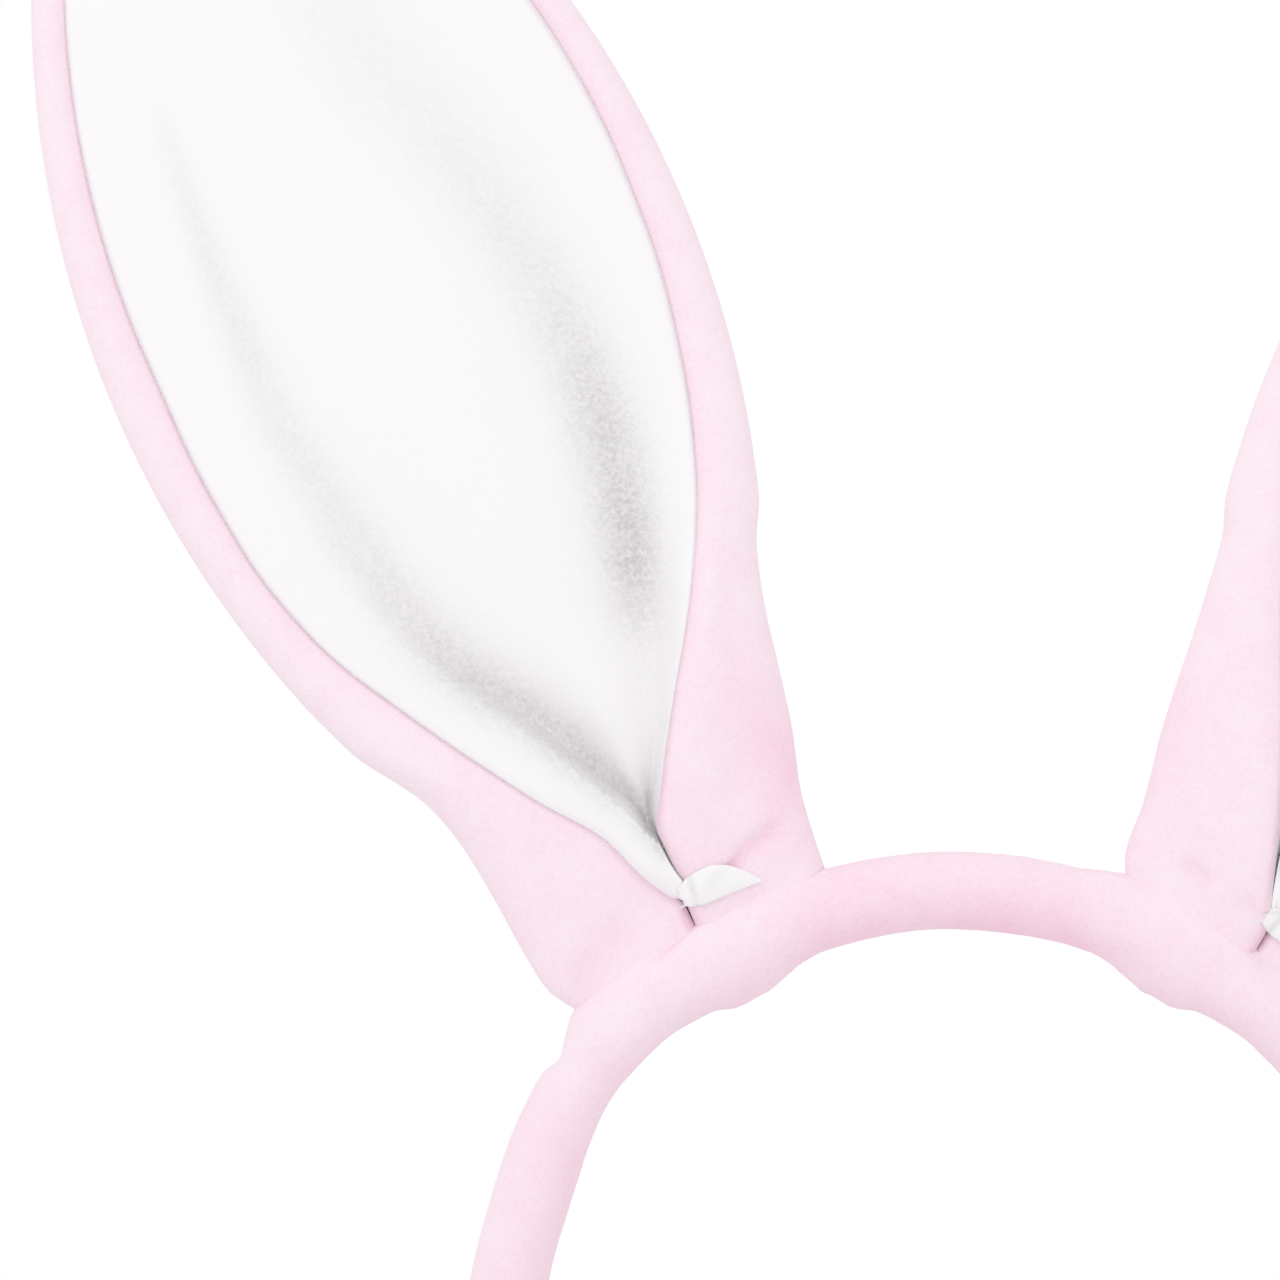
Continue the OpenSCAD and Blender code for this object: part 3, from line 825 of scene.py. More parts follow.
class HEADBAND_OT_wraps(bpy.types.Operator):
    """Wraps the gathered foot of each ear round the band, and sews it there"""

    bl_idname = "headband.wraps"
    bl_label = "Ear Wraps"

    def wrap_place(self, angle, turn, side, lift=0.0):
        radius = wrap_radius(angle, turn)
        place = tube_point(SIGN[side] * angle, turn, radius * MM)
        seam = math.remainder(turn - math.pi, 2 * math.pi)
        channel = -0.45 * math.exp(-(seam / 0.05) ** 2)
        ripple = 0.14 * noise.noise(place * 70) + 0.06 * noise.noise(place * 300)
        inner = float(ease((angle - WRAP_START) / 4) * ease((WRAP_END - angle) / 3))
        bulge = (channel + (ripple + wrap_folds(angle, turn, side)) * inner + lift) * MM
        return tube_point(SIGN[side] * angle, turn, radius * MM, bulge)

    def execute(self, context):
        sizes = context.scene.headband_sizes
        for side in SIDES:
            columns, rows = 96, 88
            points, shades = [], []
            for i in range(rows + 1):
                angle = WRAP_START + (WRAP_END - WRAP_START) * i / rows
                # Painted shade: deeper at the wrap's start to meet the crown's, deeper on the side that faces
                # the head, and deeper in the dart's dent.
                painted_shade = 0.26 * (1 - float(ease((angle - WRAP_START - 2) / 12)))
                for j in range(columns):
                    turn = 2 * math.pi * j / columns
                    place = self.wrap_place(angle, turn, side)
                    points.append(place)
                    fold = -wrap_folds(angle, turn, side) if turn < 2.6 else 0
                    shades.append(painted_shade + 0.40 * down_turned(angle, turn) + 0.55 * max(fold, 0)
                                  + 0.10 * noise.noise(place * 70))
            faces = grid_faces(rows + 1, columns, close=True)
            wrap = make_piece(side + "_wrap", points, faces, velour(), shades)
            weld(wrap)
            thicken(wrap, sizes.cover_thickness)
            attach(wrap, "crown")
            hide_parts(side + "_ear_wrap")
            self.sew(side, sizes.thread_diameter / 2)
        return {"FINISHED"}

    def sew(self, side, radius):
        """Stitches down the channel on the wrap's head side."""
        stitches = sew_row(
            side + "_wrap_sewing", lambda angle, lift: self.wrap_place(angle, math.pi, side, lift),
            WRAP_START + 4, WRAP_END - 4, radius)
        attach(stitches, "crown")
        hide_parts(side + "_wrap_stitches")


# ---------- ears ----------

class EarShape:
    """The outline, seams, lips and valleys of one ear, in millimetres along its own axes."""

    tip_round = 8.0
    lining_tip_round = 4.5
    lining_foot = 20.0
    edge_round = 4.2

    def __init__(self, side):
        sizes = bpy.context.scene.headband_sizes
        self.place = EarPlace(side)
        self.half_depth = sizes.ear_half_depth / MM
        self.lip = sizes.lip_height / MM
        s, t = self.place.measure(side + "_tip_back")
        self.top, self.half = float(s.max()), float(np.abs(t).max())
        self.arcs_end = leaf_end(self.top, 0, self.half, self.tip_round)
        s, t = self.place.measure(side + "_tip_lining")
        self.lining_top, self.lining_half = float(s.max()), float(np.abs(t).max())
        self.lining_end = leaf_end(self.lining_top, self.lining_foot, self.lining_half, self.lining_tip_round)
        self.foot_curves(side)

    def foot_curves(self, side):
        """The gathered foot, which leaves the leaf's arcs at a kink on each side."""
        inner_foot = ((0, 23.6), (7, 24.3), (18, 25.6), (29, 28.7), (36, 30.2))
        if side == "right":
            inner_foot = ((0, 17.4), (7, 18.6), (12, 21.6), (18, 23.2), (28, 27.0))
        self.outer_foot = curve(
            (0, 15), (8, 16.6), (10, 18.2), (12, 19.7), (14, 21), (18, 21.9), (25, 22.7), (33, 24),
            (40, 26.4), (44, 28.8), (50, self.arcs(50) - 0.3), (58, self.arcs(58)))
        self.inner_foot = curve(
            *inner_foot, (47, 32.4), (56, 35.2), (61, self.arcs(61) + 0.7), (70, self.arcs(70) + 0.8))
        outer_pinch = ((8, 3.2), (12.4, 3.1), (14.2, 1.5), (18, -0.7), (25, -3.7))
        inner_pinch = ((8, 3.3), (12.4, 3.4), (14.5, 4.9), (19.5, 3.9), (23, 3.8))
        if side == "right":
            outer_pinch = ((8, -2.7), (14.5, -2.3), (16, -3.4), (18, -4.4), (25, -6.6))
            inner_pinch = ((8, -2.6), (14.5, -2.0), (16, -1.0), (18, 0.5), (22, 2.9))
        self.seam_outer = curve(
            *outer_pinch, (34, -11), (52, -22.7), (69, -31.6), (85, -35.8), (105, -37.4), (117, -37.4))
        self.seam_inner = curve(
            *inner_pinch, (29.5, 7.5), (37, 12.5), (54, 23.6), (68, 30.6), (84, 35.6), (104, 39), (117, 39.6))

    def arcs(self, s):
        return leaf_half(s, 0, self.arcs_end, self.half, self.tip_round)

    def outer_edge(self, s):
        return -float(self.outer_foot(s)) if s < 58 else -self.arcs(s)

    def inner_edge(self, s):
        if s < 70:
            return float(self.inner_foot(s))
        return self.arcs(s) + 0.8 * float(1 - ease((s - 130) / 60))

    def lining_edges(self, s):
        middle = (self.lining_foot + self.lining_end) / 2
        if s < middle:
            return float(self.seam_outer(s)), float(self.seam_inner(s))
        half = leaf_half(s, self.lining_foot, self.lining_end, self.lining_half, self.lining_tip_round)
        share = half / self.lining_half
        return float(self.seam_outer(117)) * share, float(self.seam_inner(117)) * share

    # Places of the lip's ridge, the two valleys and the swelling between them,
    # as shares of the lining's width, up the ear.
    ridge = staticmethod(curve(
        (8, 0.93), (22, 0.93), (25, 0.70), (30, 0.46), (35, 0.37), (42, 0.28), (57, 0.17), (80, 0.12),
        (216, 0.12)))
    outer_valley = staticmethod(curve(
        (8, 0.955), (22, 0.96), (25, 0.80), (30, 0.56), (35, 0.45), (42, 0.36), (57, 0.235),
        (85, 0.215), (106, 0.19), (216, 0.19)))
    swell = staticmethod(curve(
        (8, 0.97), (22, 0.975), (25, 0.87), (30, 0.74), (42, 0.63), (57, 0.53), (216, 0.50)))
    inner_valley = staticmethod(curve(
        (8, 0.985), (22, 0.987), (25, 0.94), (30, 0.92), (35, 0.93), (42, 0.89), (57, 0.815),
        (85, 0.80), (106, 0.765), (129, 0.71), (150, 0.64), (216, 0.60)))

    # Their heights in front of the ear's middle layer, in mm, up the ear.
    outer_valley_d = staticmethod(curve(
        (8, 4.6), (14, 5.7), (20, 4.9), (25, 0.4), (30, -0.9), (48, -0.5), (68, 0.6), (95, 1.9),
        (130, 2.9), (155, 3.6), (216, 3.5)))
    swell_d = staticmethod(curve(
        (8, 4.8), (14, 5.8), (20, 5.1), (25, 0.8), (32, 0.8), (45, 2.4), (65, 3.5), (110, 4.2),
        (216, 3.7)))
    inner_valley_d = staticmethod(curve(
        (8, 4.8), (14, 5.9), (20, 5.1), (25, 0.2), (30, -0.9), (50, -0.8), (75, 0.1), (100, 1.1),
        (130, 2.1), (165, 3.2), (216, 3.5)))

    def lip_knots(self, s):
        """Heights of the ridge, the two seams and the rolled lip at height s."""
        full = self.lip
        ridge = curve(
            (8, 5.4), (14, full * 0.82), (22, full), (32, full * 0.97), (45, full * 0.74), (60, 4.6),
            (80, 3.9), (216, 3.6))
        seam_outer = curve(
            (8, 5.0), (14, full * 0.70), (22, full * 0.82), (32, full * 0.78), (45, full * 0.62),
            (60, 4.0), (80, 3.3), (216, 3.1))
        seam_inner = curve(
            (8, 5.2), (14, full * 0.84), (22, full * 0.98), (32, full * 0.94), (45, full * 0.78),
            (60, 4.7), (78, 3.5), (216, 3.1))
        lip_top = curve(
            (8, 5.4), (14, full * 0.90), (22, full * 1.07), (32, full * 1.05), (45, full * 0.90),
            (60, 5.3), (78, 4.0), (216, 3.5))
        return [float(height(s)) for height in (ridge, seam_outer, seam_inner, lip_top)]

    def front(self, s, t):
        """Height of the front surface at points t across the ear, at height s."""
        left, right = self.outer_edge(s), self.inner_edge(s)
        seam_left, seam_right = self.lining_edges(s)
        width = max(seam_right - seam_left, 0.05)
        ridge, seam_outer, seam_inner, lip_top = self.lip_knots(s)
        rim = self.half_depth
        lip_over = min(3.2, 0.35 * (right - seam_right))
        knots = [
            (left, rim),
            (left + 0.45 * (seam_left - left), 0.5 * (rim + seam_outer) + 0.5),
            (seam_left, seam_outer),
            (seam_left + float(self.ridge(s)) * width, ridge),
            (seam_left + float(self.outer_valley(s)) * width, float(self.outer_valley_d(s))),
            (seam_left + float(self.swell(s)) * width, float(self.swell_d(s))),
            (seam_left + float(self.inner_valley(s)) * width, float(self.inner_valley_d(s))),
            (seam_left + width, seam_inner),
            (seam_right + lip_over, lip_top),
            (seam_right + 0.62 * (right - seam_right), 0.45 * (rim + lip_top) + 0.4),
            (right, rim),
        ]
        kept = [knots[0]]
        for knot in knots[1:]:
            if knot[0] > kept[-1][0] + 0.02:
                kept.append(knot)
        height = curve(*kept)(t)
        crease = 0.55 * np.exp(-((t - seam_left) / 0.8) ** 2)
        crease += 0.55 * float(ease((s - 52) / 20)) * np.exp(-((t - seam_right) / 0.8) ** 2)
        return height - crease - self.lip_fold(s, t)

    def lip_fold(self, s, t):
        """The soft diagonal folds in the velour above the band."""
        if self.place.side == "left":
            line = 13.4 + (t - 6.9) * 0.245
            fold = 0.9 * np.exp(-((s - line) / 1.5) ** 2) * ease((t - 5.5) / 3) * ease((24 - t) / 5)
        else:
            line = 15.2 - (t - 0.4) * 0.12
            far = ease((t - 8.5) / 2) * ease((15 - t) / 3)
            near = 0.7 * ease((t + 1) / 2) * ease((5 - t) / 3)
            fold = 0.7 * np.exp(-((s - line) / 1.1) ** 2) * (far + near)
        dent_line = 14 + (t + 9) * 0.18
        dent = 0.6 * np.exp(-((s - dent_line) / 2.2) ** 2) * ease((t + 19) / 4) * ease((-4 - t) / 5)
        return fold + dent

    def rounding(self, s, t):
        """0 at the ear's edges and 1 a little way in, as a round edge rises."""
        left, right = self.outer_edge(s), self.inner_edge(s)
        reach = min(self.edge_round, 0.5 * (right - left))
        near = np.clip(np.minimum(t - left, right - t) / max(reach, 0.01), 0, 1)
        return np.sqrt(1 - (1 - near) ** 2)

    def back(self, s, t):
        """Height of the back surface, with a shallow trough and gathers at the foot."""
        depth = -self.half_depth - 0.5 * float(hump(s, 110, 60))
        trough = 0.9 * float(ease(s / 60) * ease((200 - s) / 60)) * np.exp(-(t / 11) ** 2)
        gathers = 0.55 * float(ease((38 - s) / 26)) * np.cos(t * 0.95 + 0.06 * s)
        return depth + trough + gathers


ROWS_LOW, ROWS_HIGH, ROWS_TIP = 60, 66, 16


def ear_rows(shape):
    """Heights of the rows of an ear's mesh: close together at the foot and the tip."""
    foot, waist, tip_height = 8.0, 62, 9
    low = np.linspace(foot, waist, ROWS_LOW, endpoint=False)
    high = np.linspace(waist, shape.top - tip_height, ROWS_HIGH, endpoint=False)
    tip = shape.top - tip_height * (1 - np.sin(np.linspace(0, math.pi / 2, ROWS_TIP)))
    return np.concatenate([low, high, tip])


def lining_row(shape, s):
    """The lining's own height for a row whose edge is at s: it closes a little below the ear's tip."""
    gap = shape.top - shape.lining_top
    return s - gap * float(ease((s - 120) / (shape.top - 120)))


def seat_on_band(shape, s, t, d, first=8.0, reach=42.0):
    """Lowers or lifts the foot of the ear so that its bottom edge is tucked into the wrap."""
    tuck = 6.9 - 0.9 * ease((np.abs(t) - 14) / 6)
    height = np.sqrt(np.maximum(tuck ** 2 - np.minimum(np.abs(d), tuck * 0.97) ** 2, 0))
    bottom = shape.place.tube_height(t, 0) + height
    share = np.clip(1 - (s - first) / (reach - first), 0, 1) ** 2
    return s + share * (bottom - first)


def strip(shape, part, columns):
    """A grid of (s, t, d) points over one part of the ear: outer, lining, inner or back."""
    grid = []
    for s in ear_rows(shape):
        s_in = lining_row(shape, s)
        left, right = shape.outer_edge(s), shape.inner_edge(s)
        seam_left, seam_right = shape.lining_edges(s_in)
        u = np.linspace(0, 1, columns)
        if part == "outer":
            u = 1 - np.cos(u * math.pi / 2)
            t = left + (seam_left - left) * u
            rise = s + (s_in - s) * u
        elif part == "inner":
            u = np.sin(u * math.pi / 2)
            t = seam_right + (right - seam_right) * u
            rise = s_in + (s - s_in) * u
        elif part == "lining":
            inner_marks = (shape.ridge, shape.outer_valley, shape.swell, shape.inner_valley)
            marks = [0, *(float(mark(s)) for mark in inner_marks), 1]
            shares = np.linspace(0, 5, columns)
            u = np.interp(shares, range(6), marks) * 0.45 + u * 0.55
            t = seam_left + (seam_right - seam_left) * u
            rise = np.full(columns, s_in)
        else:
            u = 0.5 - 0.5 * np.cos(u * math.pi)
            t = left + (right - left) * u
            rise = np.full(columns, s)
        if part == "back":
            d = shape.back(s, t) * shape.rounding(s, t)
        else:
            d = shape.front(s_in, t)
            if part == "lining":
                d = d - 1.2 * ease((1.5 - (seam_right - seam_left)) / 1.2)
            else:
                d = d * shape.rounding(s, t)
        grid.append(np.stack([seat_on_band(shape, rise, t, d), t, d], axis=-1))
    return np.array(grid)


def velour_shade(shape, s, t, front):
    """How deep the pink is at a point of an ear's velour."""
    seam_left, seam_right = shape.lining_edges(lining_row(shape, s))
    shade = 0.06 + 0.10 * ease((60 - s) / 50)
    if front:
        near_left = 0.34 * np.exp(-np.maximum(seam_left - t, 0) / 1.2) * (t <= seam_left + 0.01)
        near_right = 0.34 * np.exp(-np.maximum(t - seam_right, 0) / 1.2) * (t >= seam_right - 0.01)
        lip_side = np.exp(-((t - 25) / 5.5) ** 2 - ((s - 27) / 13) ** 2)
        if shape.place.side == "left":
            lip_side = 0.42 * lip_side + 0.14 * np.exp(-((t - 9) / 5) ** 2 - ((s - 18) / 5) ** 2)
        else:
            lip_side = 0.12 * lip_side
        fold = 0.35 * np.abs(shape.lip_fold(s, t))
        shade = shade + near_left + near_right + lip_side + fold
    else:
        shade = shade + 0.12 + 0.2 * np.exp(-(t / 9) ** 2) * float(ease(s / 60) * ease((200 - s) / 60))
    return shade


# How deep the painted shade in the two valleys of the lining is, and how wide, in mm, up the ear.
OUTER_GREY = curve(
    (19, 0.0), (22, 0.24), (26, 0.32), (35, 0.44), (50, 0.43), (70, 0.28), (95, 0.17), (125, 0.16),
    (146, 0.08), (156, 0.0), (216, 0.0))
INNER_GREY = curve(
    (19, 0.0), (22, 0.22), (27, 0.12), (35, 0.04), (46, 0.12), (54, 0.38), (62, 0.56), (80, 0.46),
    (100, 0.25), (120, 0.15), (150, 0.08), (185, 0.04), (210, 0.0))
OUTER_SPREAD = curve(
    (20, 1.5), (30, 3.0), (50, 4.6), (75, 4.6), (110, 3.2), (150, 2.0), (216, 2.0))
INNER_SPREAD = curve(
    (20, 1.5), (30, 2.5), (45, 4.2), (70, 5.0), (110, 6.0), (150, 8.0), (216, 8.0))


def lining_shade(shape, s, t):
    """How grey the lining is at a point: deepest where the valleys run together."""
    seam_left, seam_right = shape.lining_edges(s)
    width = seam_right - seam_left
    shade = 0
    for valley, grey, spread in (
            (shape.outer_valley, OUTER_GREY, OUTER_SPREAD), (shape.inner_valley, INNER_GREY, INNER_SPREAD)):
        middle = seam_left + float(valley(s)) * width
        shade = shade + float(grey(s)) * hump(t, middle, float(spread(s)))
    return shade


OUTER_COLUMNS, LINING_COLUMNS, INNER_COLUMNS, BACK_COLUMNS = 18, 71, 22, 40


def blend_tip(piece, place):
    """Lets fabric bend from the ear's lower half to its tip."""
    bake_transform(piece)


def grid_piece(name, place, grids, finish, shades):
    """A piece made of grids of (s, t, d) points that share their edges."""
    points, faces, kept = [], [], []
    for grid, shade in zip(grids, shades):
        rows, columns = grid.shape[:2]
        faces += grid_faces(rows, columns, offset=len(points))
        points += list(place.world(grid[..., 0], grid[..., 1], grid[..., 2]).reshape(-1, 3))
        kept += list(np.asarray(shade).reshape(-1))
    piece = make_piece(name, points, faces, finish, kept)
    weld(piece)
    return piece


class HEADBAND_OT_ears(bpy.types.Operator):
    """Sews the velour shell and the white lining of each ear"""

    bl_idname = "headband.ears"
    bl_label = "Ear Shells and Linings"

    def execute(self, context):
        sizes = context.scene.headband_sizes
        for side in SIDES:
            shape = EarShape(side)
            rows = ear_rows(shape)
            outer = strip(shape, "outer", OUTER_COLUMNS)
            inner = strip(shape, "inner", INNER_COLUMNS)
            back = strip(shape, "back", BACK_COLUMNS)[:, ::-1]
            fronts = [
                np.array([velour_shade(shape, s, row[:, 1], True) for s, row in zip(rows, grid)])
                for grid in (outer, inner)]
            behind = np.array([velour_shade(shape, s, row[:, 1], False) for s, row in zip(rows, back)])
            shell = grid_piece(
                side + "_ear_shell", shape.place, [outer, inner, back], velour(), [*fronts, behind])
            thicken(shell, sizes.shell_thickness)
            blend_tip(shell, shape.place)
            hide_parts(*(side + part for part in ("_ear_back", "_ear_rim", "_tip_back", "_tip_rim")))
            white = strip(shape, "lining", LINING_COLUMNS)
            grey = np.array(
                [lining_shade(shape, lining_row(shape, s), row[:, 1]) for s, row in zip(rows, white)])
            lining = grid_piece(side + "_ear_lining_cloth", shape.place, [white], lining_cloth(), [grey])
            thicken(lining, sizes.lining_thickness)
            blend_tip(lining, shape.place)
            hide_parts(side + "_ear_lining", side + "_tip_lining")
        return {"FINISHED"}


class HEADBAND_OT_ear_insides(bpy.types.Operator):
    """Stuffs each ear and puts its bendable wire in"""

    bl_idname = "headband.ear_insides"
    bl_label = "Ear Wadding and Wire"

    def execute(self, context):
        sizes = context.scene.headband_sizes
        for side in SIDES:
            shape = EarShape(side)
            self.stuff(shape, sizes)
            self.wire(shape, sizes.wire_diameter)
        return {"FINISHED"}

    def stuff(self, shape, sizes):
        """A soft filling that stays a little inside the shell and lining."""
        inside, margin, least = 1.3, 2.2, 2.6
        columns = 36
        front, back = [], []
        for s in ear_rows(shape)[::2]:
            if s > shape.place.bend and shape.arcs(s) < margin + least:
                break
            left, right = shape.outer_edge(s) + margin, shape.inner_edge(s) - margin
            u = np.linspace(0, 1, columns)
            t = left + (right - left) * (0.5 - 0.5 * np.cos(u * math.pi))
            edge = np.sin(u * math.pi) ** 0.35
            cloth = np.min([
                shape.front(lining_row(shape, s + up), t + aside)
                for up in (-2, 0, 2) for aside in (-1.8, -0.9, 0, 0.9, 1.8)], axis=0)
            lowest = shape.back(s, t) + inside
            over = np.minimum(np.maximum(cloth - inside - 0.3, lowest + 0.6), cloth - inside)
            under = np.minimum(lowest, over - 0.1)
            middle = 0.5 * (over + under)
            rise = seat_on_band(shape, np.full(columns, s + 1.0), t, middle)
            front.append(np.stack([rise, t, middle + (over - middle) * edge], axis=-1))
            back.append(np.stack([rise, t, middle + (under - middle) * edge], axis=-1))
        front, back = np.array(front), np.array(back)
        shades = [np.zeros(front.shape[:2])] * 2
        side = shape.place.side
        wadding = grid_piece(
            side + "_ear_stuffing", shape.place, [front, back[:, ::-1]], wadding_fluff(), shades)
        close_ends(wadding)
        blend_tip(wadding, shape.place)
        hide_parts(side + "_ear_wadding", side + "_tip_wadding")

    def wire(self, shape, diameter):
        """A loop of wire that follows the ear's edge: up one side, round the tip and down the other."""
        inset, foot = 5.0, 22.0
        chord, half = shape.arcs_end, shape.half
        radius = (chord * chord / 4 + half * half) / (2 * half)
        side_run = radius - inset
        tip_at = shape.top - shape.tip_round
        first = math.asin((foot - chord / 2) / side_run)
        last = math.asin((tip_at - chord / 2) / (radius - shape.tip_round))
        rise = [first + (last - first) * k / 70 for k in range(71)]
        outer = [
            (chord / 2 + side_run * math.sin(a), -(side_run * math.cos(a) - (radius - half)))
            for a in rise]
        tip_run = shape.tip_round - inset
        turns = [math.pi - last + (2 * last - math.pi) * k / 16 for k in range(1, 16)]
        tip = [(tip_at + tip_run * math.sin(a), tip_run * math.cos(a)) for a in turns]
        inner = [(s, -t) for s, t in reversed(outer)]
        path = np.array([(s, t, 0.0) for s, t in outer + tip + inner])
        points, faces = sweep(shape.place.world(*path.T), diameter / 2, 10)
        side = shape.place.side
        loop = make_piece(side + "_ear_wire_loop", points, faces, drawn_steel())
        weld(loop, 0.001 * MM)
        blend_tip(loop, shape.place)
        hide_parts(side + "_ear_wire", side + "_tip_wire")


def close_ends(piece):
    """Fills any opening left in a mesh."""
    work = bmesh.new()
    work.from_mesh(piece.data)
    bmesh.ops.holes_fill(work, edges=work.edges, sides=0)
    bmesh.ops.recalc_face_normals(work, faces=work.faces)
    work.to_mesh(piece.data)
    work.free()


class Surface:
    """The outside of pieces already made, as felt from the front."""

    def __init__(self, place, *names):
        self.place = place
        points, faces = [], []
        for name in names:
            mesh = bpy.data.objects[name].data
            offset = len(points)
            points += [vertex.co.copy() for vertex in mesh.vertices]
            faces += [[offset + i for i in face.vertices] for face in mesh.polygons]
        self.tree = BVHTree.FromPolygons(points, faces)

    def height(self, s, t):
        """How far forward the surface is at a point of the ear's plane, in mm."""
        away = 40.0
        start = Vector(self.place.world(s, t, away))
        hit = self.tree.ray_cast(start, -FRONT)
        if hit[0] is None:
            raise RuntimeError("nothing lies behind the point")
        return away - hit[3] / MM


# Where each pinch is across its ear's foot, in mm.
PINCH_AT = {"left": 3.0, "right": -1.0}


class HEADBAND_OT_pinches(bpy.types.Operator):
    """Turns over the tail of the lining beside each pinch, and gathers the pinch with thread"""

    bl_idname = "headband.pinches"
    bl_label = "Lining Tails and Pinches"

    def execute(self, context):
        sizes = context.scene.headband_sizes
        for side in SIDES:
            shape = EarShape(side)
            surface = Surface(
                shape.place, side + "_ear_shell", side + "_ear_lining_cloth", side + "_wrap",
                "crown_sleeve", side + "_arm_sleeve")
            pinch = PINCH_AT[side]
            self.tail(shape, sizes, surface, pinch, SIGN[side])
            self.stitches(shape, sizes.thread_diameter / 2, surface, pinch, SIGN[side])
        return {"FINISHED"}

    def tail(self, shape, sizes, surface, pinch, toward):
        """A small leaf of lining, turned over at the pinch, that lies over the top of the band."""
        columns, rows, length = 33, 17, 12.0
        upper = curve((0, 13.0), (2.5, 14.2), (5.4, 14.4), (8, 13.5), (10.2, 11.6), (12, 9.3))
        lower = curve((0, 10.2), (1.2, 9.6), (2.6, 9.3), (7, 9.1), (12, 8.9))
        across = length * (0.5 - 0.5 * np.cos(np.linspace(0, 1, columns) * math.pi))
        v = np.linspace(0, 1, rows)[:, None]
        s = lower(across) + (upper(across) - lower(across)) * v
        t = pinch + toward * across + 0 * v
        under = np.array([[surface.height(*at) for at in zip(*row)] for row in zip(s, t)])
        lying = under.copy()
        for _ in range(12):
            wide = np.pad(lying, 1, mode="edge")
            lying = np.maximum(
                under, (wide[:-2, 1:-1] + wide[2:, 1:-1] + wide[1:-1, :-2] + wide[1:-1, 2:]) / 4)
        puff = 0.75 * np.sin(v * math.pi) ** 0.7 * ease(across / 3) * ease((length - across) / 4)
        fold = 0.30 * np.exp(-((across - 1.6 - 0.8 * v) / 0.5) ** 2)
        grid = np.stack([s, t, lying + 0.5 + puff - fold], axis=-1)
        if toward > 0:
            grid = grid[:, ::-1]
            fold = fold[:, ::-1]
        # Painted shade along the crease where the tail is turned over.
        shade = 0.75 * fold
        side = shape.place.side
        tail = grid_piece(side + "_lining_tail", shape.place, [grid[::-1]], lining_cloth(), [shade[::-1]])
        thicken(tail, sizes.lining_thickness)
        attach(tail, side + "_ear")
        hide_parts(side + "_lining_tab")

    def stitches(self, shape, radius, surface, pinch, toward):
        """Three short stitches across the pinch, drawn into its crease."""
        parts = []
        for i in range(3):
            path = []
            for k in range(9):
                along = k / 8
                s = 10.2 + 1.2 * i + 0.3 * along
                t = pinch + toward * (-0.7 + 1.9 * along + 0.2 * i)
                lift = 0.55 * math.sin(along * math.pi) - 0.35
                path.append(shape.place.world(s, t, surface.height(s, t) + lift))
            parts.append(sweep(path, radius))
        points, faces = join_parts(parts)
        side = shape.place.side
        stitches = make_piece(side + "_pinch_sewing", points, faces, white_thread())
        weld(stitches, 0.001 * MM)
        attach(stitches, side + "_ear")
        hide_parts(side + "_pinch_stitches")


class HEADBAND_OT_fittings(bpy.types.Operator):
    """Finishes the pieces kept from the frame: core strips, wire feet and gathered ends"""

    bl_idname = "headband.fittings"
    bl_label = "Core, Wire Feet and Gathers"

    def execute(self, context):
        plastic = moulded_plastic()
        for name, node in frame["nodes"].items():
            if node.hide_render:
                continue
            if "core" in name:
                finish = plastic
            elif "wire" in name:
                finish = drawn_steel()
            else:
                finish = thread()
            node.data.materials.clear()
            node.data.materials.append(finish)
            node.data.polygons.foreach_set("use_smooth", [True] * len(node.data.polygons))
            node.data.update()
        return {"FINISHED"}


# ---------- stage ----------

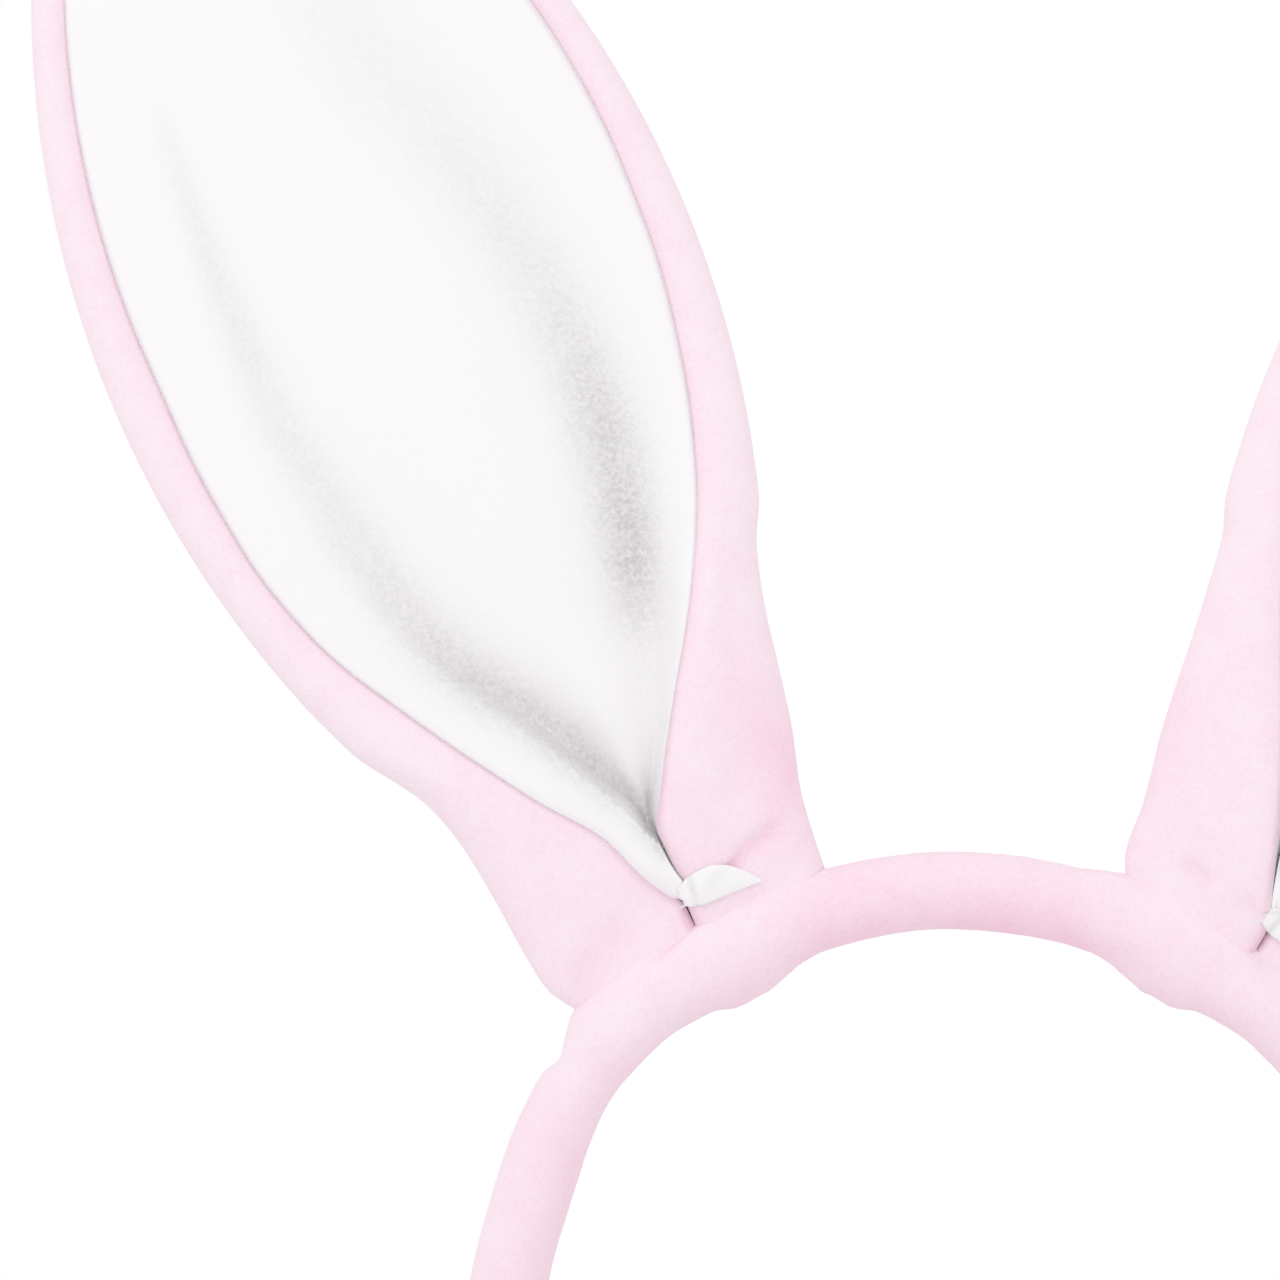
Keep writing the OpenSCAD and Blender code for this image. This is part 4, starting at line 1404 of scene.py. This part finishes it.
class HEADBAND_OT_stage(bpy.types.Operator):
    """Sets the floor, the soft studio light and the camera"""

    bl_idname = "headband.stage"
    bl_label = "Studio"

    def execute(self, context):
        self.floor()
        self.world(context.scene)
        self.lamp("key", (-0.75, -1.0, 0.95), 0.9, 2.7)
        self.lamp("fill", (0.40, -1.35, -0.15), 0.8, 1.0)
        self.camera(context.scene)
        context.scene.view_settings.view_transform = "Standard"
        return {"FINISHED"}

    def floor(self):
        half, below, edge = 0.42, 0.002, 0.01
        low = CAD_BOX[0][2] - below
        points, count = [], 24
        for i in range(count + 1):
            for j in range(count + 1):
                x, y = half * (2 * j / count - 1), half * (2 * i / count - 1)
                rim = max(abs(x), abs(y)) > half - 1e-6
                points.append((x, y, low - edge * rim))
        floor = make_piece("studio_floor", points, grid_faces(count + 1, count + 1), studio_paper())

    def world(self, scene):
        """An even white surround, bright to the camera and softer on the object."""
        world = bpy.data.worlds.new("studio")
        scene.world = world
        world.use_nodes = True
        tree = world.node_tree
        tree.nodes.clear()
        output = tree.nodes.new("ShaderNodeOutputWorld")
        mix = tree.nodes.new("ShaderNodeMixShader")
        seen = tree.nodes.new("ShaderNodeBackground")
        soft = tree.nodes.new("ShaderNodeBackground")
        path = tree.nodes.new("ShaderNodeLightPath")
        seen.inputs["Strength"].default_value = 1.0
        seen.inputs["Color"].default_value = (1, 1, 1, 1)
        soft.inputs["Strength"].default_value = 0.91
        soft.inputs["Color"].default_value = (1, 1, 1, 1)
        tree.links.new(path.outputs["Is Camera Ray"], mix.inputs[0])
        tree.links.new(soft.outputs[0], mix.inputs[1])
        tree.links.new(seen.outputs[0], mix.inputs[2])
        tree.links.new(mix.outputs[0], output.inputs[0])

    def lamp(self, name, place, size, power):
        light = bpy.data.lights.new(name, "AREA")
        light.shape = "DISK"
        light.size = size
        light.energy = power
        lamp = bpy.data.objects.new(name, light)
        lamp.location = place
        aim = Vector((0, 0, 0.04)) - Vector(place)
        lamp.rotation_euler = aim.to_track_quat("-Z", "Y").to_euler()
        bpy.context.scene.collection.objects.link(lamp)

    def camera(self, scene):
        """A long lens from straight in front, framed on the left ear and the crown."""
        view_width = 0.192
        data = bpy.data.cameras.new("camera")
        data.lens = 200
        data.sensor_width = 36
        camera = bpy.data.objects.new("camera", data)
        away = data.lens * view_width / data.sensor_width
        camera.location = (-0.04725, -away, 0.04335)
        camera.rotation_euler = (math.pi / 2, 0, 0)
        scene.collection.objects.link(camera)
        scene.camera = camera


class HEADBAND_PT_panel(bpy.types.Panel):
    """Makes the headband piece by piece"""

    bl_idname = "HEADBAND_PT_panel"
    bl_label = "Plush Ears Headband"
    bl_space_type = "VIEW_3D"
    bl_region_type = "UI"
    bl_category = "Headband"

    def draw(self, context):
        for group in (context.scene.headband_sizes, context.scene.headband_colours):
            box = self.layout.box()
            for name in group.__annotations__:
                box.prop(group, name)
        for operator in OPERATORS:
            self.layout.operator(operator.bl_idname)


OPERATORS = (
    HEADBAND_OT_sleeve,
    HEADBAND_OT_seams,
    HEADBAND_OT_band_padding,
    HEADBAND_OT_wraps,
    HEADBAND_OT_ears,
    HEADBAND_OT_ear_insides,
    HEADBAND_OT_pinches,
    HEADBAND_OT_fittings,
    HEADBAND_OT_stage,
)
CLASSES = (HeadbandSizes, HeadbandColours, *OPERATORS, HEADBAND_PT_panel)


def register():
    for item in CLASSES:
        bpy.utils.register_class(item)
    bpy.types.Scene.headband_sizes = PointerProperty(type=HeadbandSizes)
    bpy.types.Scene.headband_colours = PointerProperty(type=HeadbandColours)


def unregister():
    del bpy.types.Scene.headband_colours
    del bpy.types.Scene.headband_sizes
    for item in reversed(CLASSES):
        bpy.utils.unregister_class(item)


def main():
    register()
    for operator in OPERATORS:
        group, name = operator.bl_idname.split(".")
        getattr(getattr(bpy.ops, group), name)()


if __name__ == "__main__":
    main()
